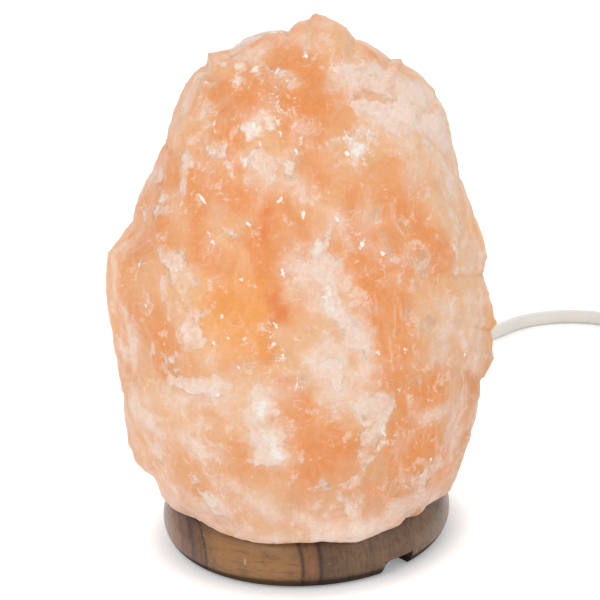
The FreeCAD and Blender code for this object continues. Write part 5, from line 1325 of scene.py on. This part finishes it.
# ---------------------------------------------------------------- dimmer and plug
SCALE_SWEEP = math.radians(290.0)
SCALE_SIZES = {"Count": 11, "Radius": 0.0123, "Length": 0.0010, "Width": 0.00045, "Height": 0.0005}
INLAY_SIZE = (0.0074, 0.0011, 0.0006)
INLAY_OUT = 0.0069          # of the inlay's middle from the knob's axis
INLAY_DEPTH = 0.0012        # of its middle below the knob's top


class SALTLAMP_OT_dimmer(bpy.types.Operator):
    """The dimmer in the cord, inside and out"""
    bl_idname = "salt_lamp.dimmer"
    bl_label = "Dimmer"

    def execute(self, context):
        fittings = settings("salt_lamp_fittings")
        white = moulded("white case plastic", fittings.white, 0.36, 0.00003)
        cover(white, "dimmer_lower_shell", "dimmer_upper_shell")
        cover(moulded("white knob plastic", fittings.white, 0.3, 0.00003), "dimmer_knob")
        cover(moulded("white relief plastic", fittings.white, 0.5), "dimmer_reliefs")
        cover(moulded("blue component plastic", tint(46, 84, 140), 0.4), "potentiometer")
        cover(metal("steel shaft", fittings.steel, 0.25), "potentiometer_shaft")
        cover(moulded("green board", tint(36, 92, 58), 0.3, marks=300.0), "circuit_board")
        cover(moulded("black component plastic", tint(26, 26, 27), 0.5), "triac")
        cover(moulded("yellow component plastic", tint(206, 168, 62), 0.4), "capacitor")
        cover(moulded("brown core insulation", tint(110, 66, 40), 0.4), "dimmer_wires")
        cover(metal("case screws", fittings.steel, 0.35), "dimmer_screws")
        self.scale(white)
        self.index(moulded("grey inlay plastic", tint(92, 92, 90), 0.4))
        return {"FINISHED"}

    def scale(self, material):
        """Raised marks round the knob, broader towards full brightness, placed by Geometry Nodes."""
        graph, given = geometry_tree("Scale marks", ("Radius", "Length", "Width", "Height", "Sweep"),
                                     ("Count",), ("Place",))
        arc = graph.node("GeometryNodeCurveArc",
                         {"Resolution": given["Count"], "Radius": given["Radius"], "Start Angle": 0.0,
                          "Sweep Angle": given["Sweep"]}, mode="RADIUS")
        marks = graph.node("GeometryNodeCurveToPoints", {"Curve": arc}, mode="EVALUATED").node.outputs
        turned = graph.node("FunctionNodeAlignRotationToVector", {"Vector": marks["Tangent"]},
                            axis="Y", pivot_axis="Z")
        size = graph.node("ShaderNodeCombineXYZ", {0: given["Length"], 1: given["Width"], 2: given["Height"]})
        mark = graph.node("GeometryNodeMeshCube", {"Size": size})
        share = graph.math("DIVIDE", graph.node("GeometryNodeInputIndex"), given["Count"])
        broad = graph.plus(graph.times(share, 1.4), 0.6)
        broader = graph.node("ShaderNodeCombineXYZ", {0: 1.0, 1: broad, 2: 1.0})
        placed = graph.node("GeometryNodeInstanceOnPoints", {"Points": marks["Points"], "Instance": mark,
                                                             "Rotation": turned, "Scale": broader})
        whole = graph.node("GeometryNodeRealizeInstances", {"Geometry": placed})
        moved = graph.node("GeometryNodeTransform", {"Geometry": whole, "Translation": given["Place"]})
        low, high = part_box("dimmer_upper_shell")
        place = ((low.x + high.x) / 2, (low.y + high.y) / 2, high.z)
        values = SCALE_SIZES | {"Sweep": SCALE_SWEEP, "Place": place, "Material": material}
        mesh = grown(path_mesh("arc", [(0, 0, 0)]), end_tree(graph, moved, given), values)
        piece = new_piece("dimmer_scale", mesh, None, CORD_BODY)

    def index(self, material):
        """The grey line let into the knob's groove."""
        low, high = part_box("dimmer_knob")
        middle = (low + high) / 2
        whole = bmesh.new()
        bmesh.ops.create_cube(whole, size=1.0)
        bmesh.ops.scale(whole, vec=INLAY_SIZE, verts=whole.verts)
        place = (middle.x + INLAY_OUT, middle.y, high.z - INLAY_DEPTH)
        bmesh.ops.translate(whole, vec=place, verts=whole.verts)
        inlay = loose_object("inlay", mesh_from(whole, "knob_index"))
        edges = inlay.modifiers.new("edges", "BEVEL")
        edges.width = 0.0002
        edges.segments = 3
        piece = new_piece("knob_index", evaluated_mesh(inlay), material, KNOB_BODY)


class SALTLAMP_OT_plug(bpy.types.Operator):
    """The mains plug with its blades and ribbed relief"""
    bl_idname = "salt_lamp.plug"
    bl_label = "Plug"

    def execute(self, context):
        fittings = settings("salt_lamp_fittings")
        cover(moulded("moulded plug plastic", fittings.white, 0.42, 0.00004), "plug_body", "plug_relief")
        cover(metal("plated blades", fittings.steel, 0.22), "plug_blades")
        return {"FINISHED"}


# ---------------------------------------------------------------- cords
CORD_Z = 0.0032
HOLDER_CORD_END = (0.0, 0.0, 0.02686)
ELBOW = ((0.0, 0.0, 0.01686), (-0.00328, 0.00377, 0.0082), (-0.00896, 0.01031, CORD_Z))
LAMP_SIDE_ROUTE = (
    (-0.0197, 0.0240), (-0.0362, 0.0478), (-0.0465, 0.0760), (-0.0439, 0.1059), (-0.0270, 0.1325),
    (0.0005, 0.1525), (0.0300, 0.1665), (0.0590, 0.1755), (0.0780, 0.1830), (0.0925, 0.1920),
    (0.1045, 0.2035), (0.1195, 0.2088), (0.1370, 0.2075), (0.1515, 0.1995),
)
LAMP_SIDE_RISE = ((0.1615, 0.1845, 0.0044), (0.1650, 0.1680, 0.0080), (0.1650, 0.1540, 0.0080))
PLUG_SIDE_SINK = ((0.1650, 0.0480, 0.0080), (0.1650, 0.0390, 0.0080), (0.1660, 0.0290, 0.0046))
COIL_CENTRE = (0.209, 0.015)
COIL_OUTER_RADIUS = 0.043
COIL_PITCH = 0.0067
COIL_TURNS = 5.5
COIL_CLIMB_TURNS = 0.5
COIL_LOWER_Z = 0.0044
POINTS_PER_TURN = 24
PLUG_ROUTE = (
    (0.2520, 0.0332, 0.0111), (0.2506, 0.0460, 0.0073), (0.2488, 0.0595, 0.0042), (0.2442, 0.0720, 0.0048),
    (0.23655, 0.08479, 0.0090), (0.2295, 0.0945, 0.0090),
)
TIE_PLY = 0.0005            # the strap lies double where its end is pressed down
TIE_CORNER = 0.0016
TIE_CORNER_STEPS = 8
TIE_END_SHORT = 0.006
TIE_EDGE = 0.0002
WEAVE_PITCH = 0.0009


def coil_points():
    """The put-away coil: in on the lower layer, out again on the upper one."""
    half = COIL_TURNS / 2
    inner = COIL_OUTER_RADIUS - COIL_PITCH * half
    points = []
    for step in range(round(COIL_TURNS * POINTS_PER_TURN) + 1):
        turns = step / POINTS_PER_TURN
        radius = inner + COIL_PITCH * abs(turns - half)
        climb = min(max((turns - half) / COIL_CLIMB_TURNS + 0.5, 0.0), 1.0)
        angle = math.pi + 2 * math.pi * turns
        points.append((COIL_CENTRE[0] + radius * math.cos(angle),
                       COIL_CENTRE[1] + radius * math.sin(angle),
                       COIL_LOWER_Z + COIL_PITCH * (1 - math.cos(math.pi * climb)) / 2))
    return points


def cord_curve(name, points, diameter, material, steps):
    curve = bpy.data.curves.new(name, "CURVE")
    curve.dimensions = "3D"
    spline = curve.splines.new("NURBS")
    spline.points.add(len(points) - 1)
    for point, place in zip(spline.points, points):
        point.co = (*place, 1.0)
    spline.order_u = 3
    spline.use_endpoint_u = True
    spline.resolution_u = steps
    curve.bevel_depth = diameter / 2
    curve.bevel_resolution = 6
    curve.use_fill_caps = True
    curve.materials.append(material)
    piece = loose_object(name, curve)
    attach(piece, CORD_BODY)
    return piece


def woven(name, colour):
    """A woven strap with a slight sheen."""
    material, graph = new_material(name)
    place = graph.place()
    across, along, height = graph.axes(place)
    pitch = 2 * math.pi / WEAVE_PITCH
    warp = graph.math("SINE", graph.times(across, pitch))
    weft = graph.math("SINE", graph.times(graph.plus(along, height), pitch))
    fluff = graph.noise(place, 2500.0)
    weave = graph.plus(graph.times(warp, weft), fluff)
    shaded = graph.mix(graph.step(weave, -0.6, 1.3), opaque([c * 0.5 for c in colour]), opaque(colour))
    finish(graph, {"Base Color": shaded,
                   "Roughness": graph.step(fluff, 0.3, 0.7, 0.7, 0.9),
                   "Sheen Weight": 0.4,
                   "Sheen Roughness": 0.4,
                   "Normal": graph.bump(weave, 0.00015)})
    return material


def strap_section(low, high, inset, corner):
    """The path of a strap round a box's section at right angles to X, as a closed loop."""
    middle = (low.x + high.x) / 2
    y0, y1 = low.y + inset + corner, high.y - inset - corner
    z0, z1 = low.z + inset + corner, high.z - inset - corner
    points = []
    for y, z, start in ((y1, z1, 0), (y0, z1, 1), (y0, z0, 2), (y1, z0, 3)):
        for k in range(TIE_CORNER_STEPS + 1):
            angle = (start + k / TIE_CORNER_STEPS) * math.pi / 2
            points.append((middle, y + corner * math.cos(angle), z + corner * math.sin(angle)))
    return points


class SALTLAMP_OT_tie(bpy.types.Operator):
    """The woven strap that holds the put-away coil"""
    bl_idname = "salt_lamp.tie"
    bl_label = "Tie"

    def execute(self, context):
        low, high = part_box("cord_tie")
        cloth = woven("woven tie", tint(70, 68, 66))
        loop = strap_section(low, high, 1.5 * TIE_PLY, TIE_CORNER)
        end = strap_section(low, high, 0.5 * TIE_PLY, TIE_CORNER)
        end = end[TIE_CORNER_STEPS // 2:TIE_CORNER_STEPS + 2]
        across, along, height = end[-1]
        end[-1] = across, along + TIE_END_SHORT, height
        tree = strap_tree()
        sizes = {"Width": high.x - low.x - TIE_EDGE, "Thickness": TIE_PLY, "Material": cloth}
        whole = bmesh.new()
        for name, points, closed in (("loop", loop, True), ("end", end, False)):
            whole.from_mesh(grown(path_mesh(name, points, closed), tree, sizes))
        piece = new_piece("tie_strap", mesh_from(whole, "tie_strap"), cloth, CORD_BODY)
        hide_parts("cord_tie")
        return {"FINISHED"}


class SALTLAMP_OT_cords(bpy.types.Operator):
    """The mains cord from the holder to the dimmer, and on through its coil to the plug"""
    bl_idname = "salt_lamp.cords"
    bl_label = "Cords"

    def execute(self, context):
        look = settings("salt_lamp_cord")
        plastic = moulded("cord plastic", look.ivory, 0.42, 0.00002, 45.0)
        route = [(x, y, CORD_Z) for x, y in LAMP_SIDE_ROUTE]
        lamp_points = [HOLDER_CORD_END, *ELBOW, *route, *LAMP_SIDE_RISE]
        lamp_cord = cord_curve("cord_lamp", lamp_points, look.diameter, plastic, 12)
        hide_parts("cord_lamp_side")
        plug_points = [*PLUG_SIDE_SINK, *coil_points(), *PLUG_ROUTE]
        plug_cord = cord_curve("cord_plug", plug_points, look.diameter, plastic, 6)
        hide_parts("cord_plug_side", "cord_coil", "cord_plug_end")
        return {"FINISHED"}


# ---------------------------------------------------------------- panel and registration
STEPS = ("stage", "crystal", "base", "holder", "bulb", "dimmer", "plug", "tie", "cords")
GROUPS = (("salt_lamp_stage", StageSettings), ("salt_lamp_crystal", CrystalSettings),
          ("salt_lamp_wood", WoodSettings), ("salt_lamp_cord", CordSettings),
          ("salt_lamp_fittings", FittingSettings))


class SALTLAMP_PT_panel(bpy.types.Panel):
    """Lists the lamp's sizes, colours and pieces"""
    bl_idname = "SALTLAMP_PT_panel"
    bl_label = "Salt lamp"
    bl_space_type = "VIEW_3D"
    bl_region_type = "UI"
    bl_category = "Salt lamp"

    def draw(self, context):
        for step in STEPS:
            self.layout.operator("salt_lamp." + step)
        for name, group in GROUPS:
            box = self.layout.box()
            for item in group.__annotations__:
                box.prop(getattr(context.scene, name), item)


CLASSES = (SALTLAMP_OT_stage, SALTLAMP_OT_crystal, SALTLAMP_OT_base, SALTLAMP_OT_holder, SALTLAMP_OT_bulb,
           SALTLAMP_OT_dimmer, SALTLAMP_OT_plug, SALTLAMP_OT_tie, SALTLAMP_OT_cords, SALTLAMP_PT_panel)


def register():
    for name, group in GROUPS:
        bpy.utils.register_class(group)
        setattr(bpy.types.Scene, name, PointerProperty(type=group))
    for item in CLASSES:
        bpy.utils.register_class(item)


def unregister():
    for item in reversed(CLASSES):
        bpy.utils.unregister_class(item)
    for name, group in reversed(GROUPS):
        delattr(bpy.types.Scene, name)
        bpy.utils.unregister_class(group)


def main():
    register()
    for step in STEPS:
        getattr(bpy.ops.salt_lamp, step)()


if __name__ == "__main__":
    main()
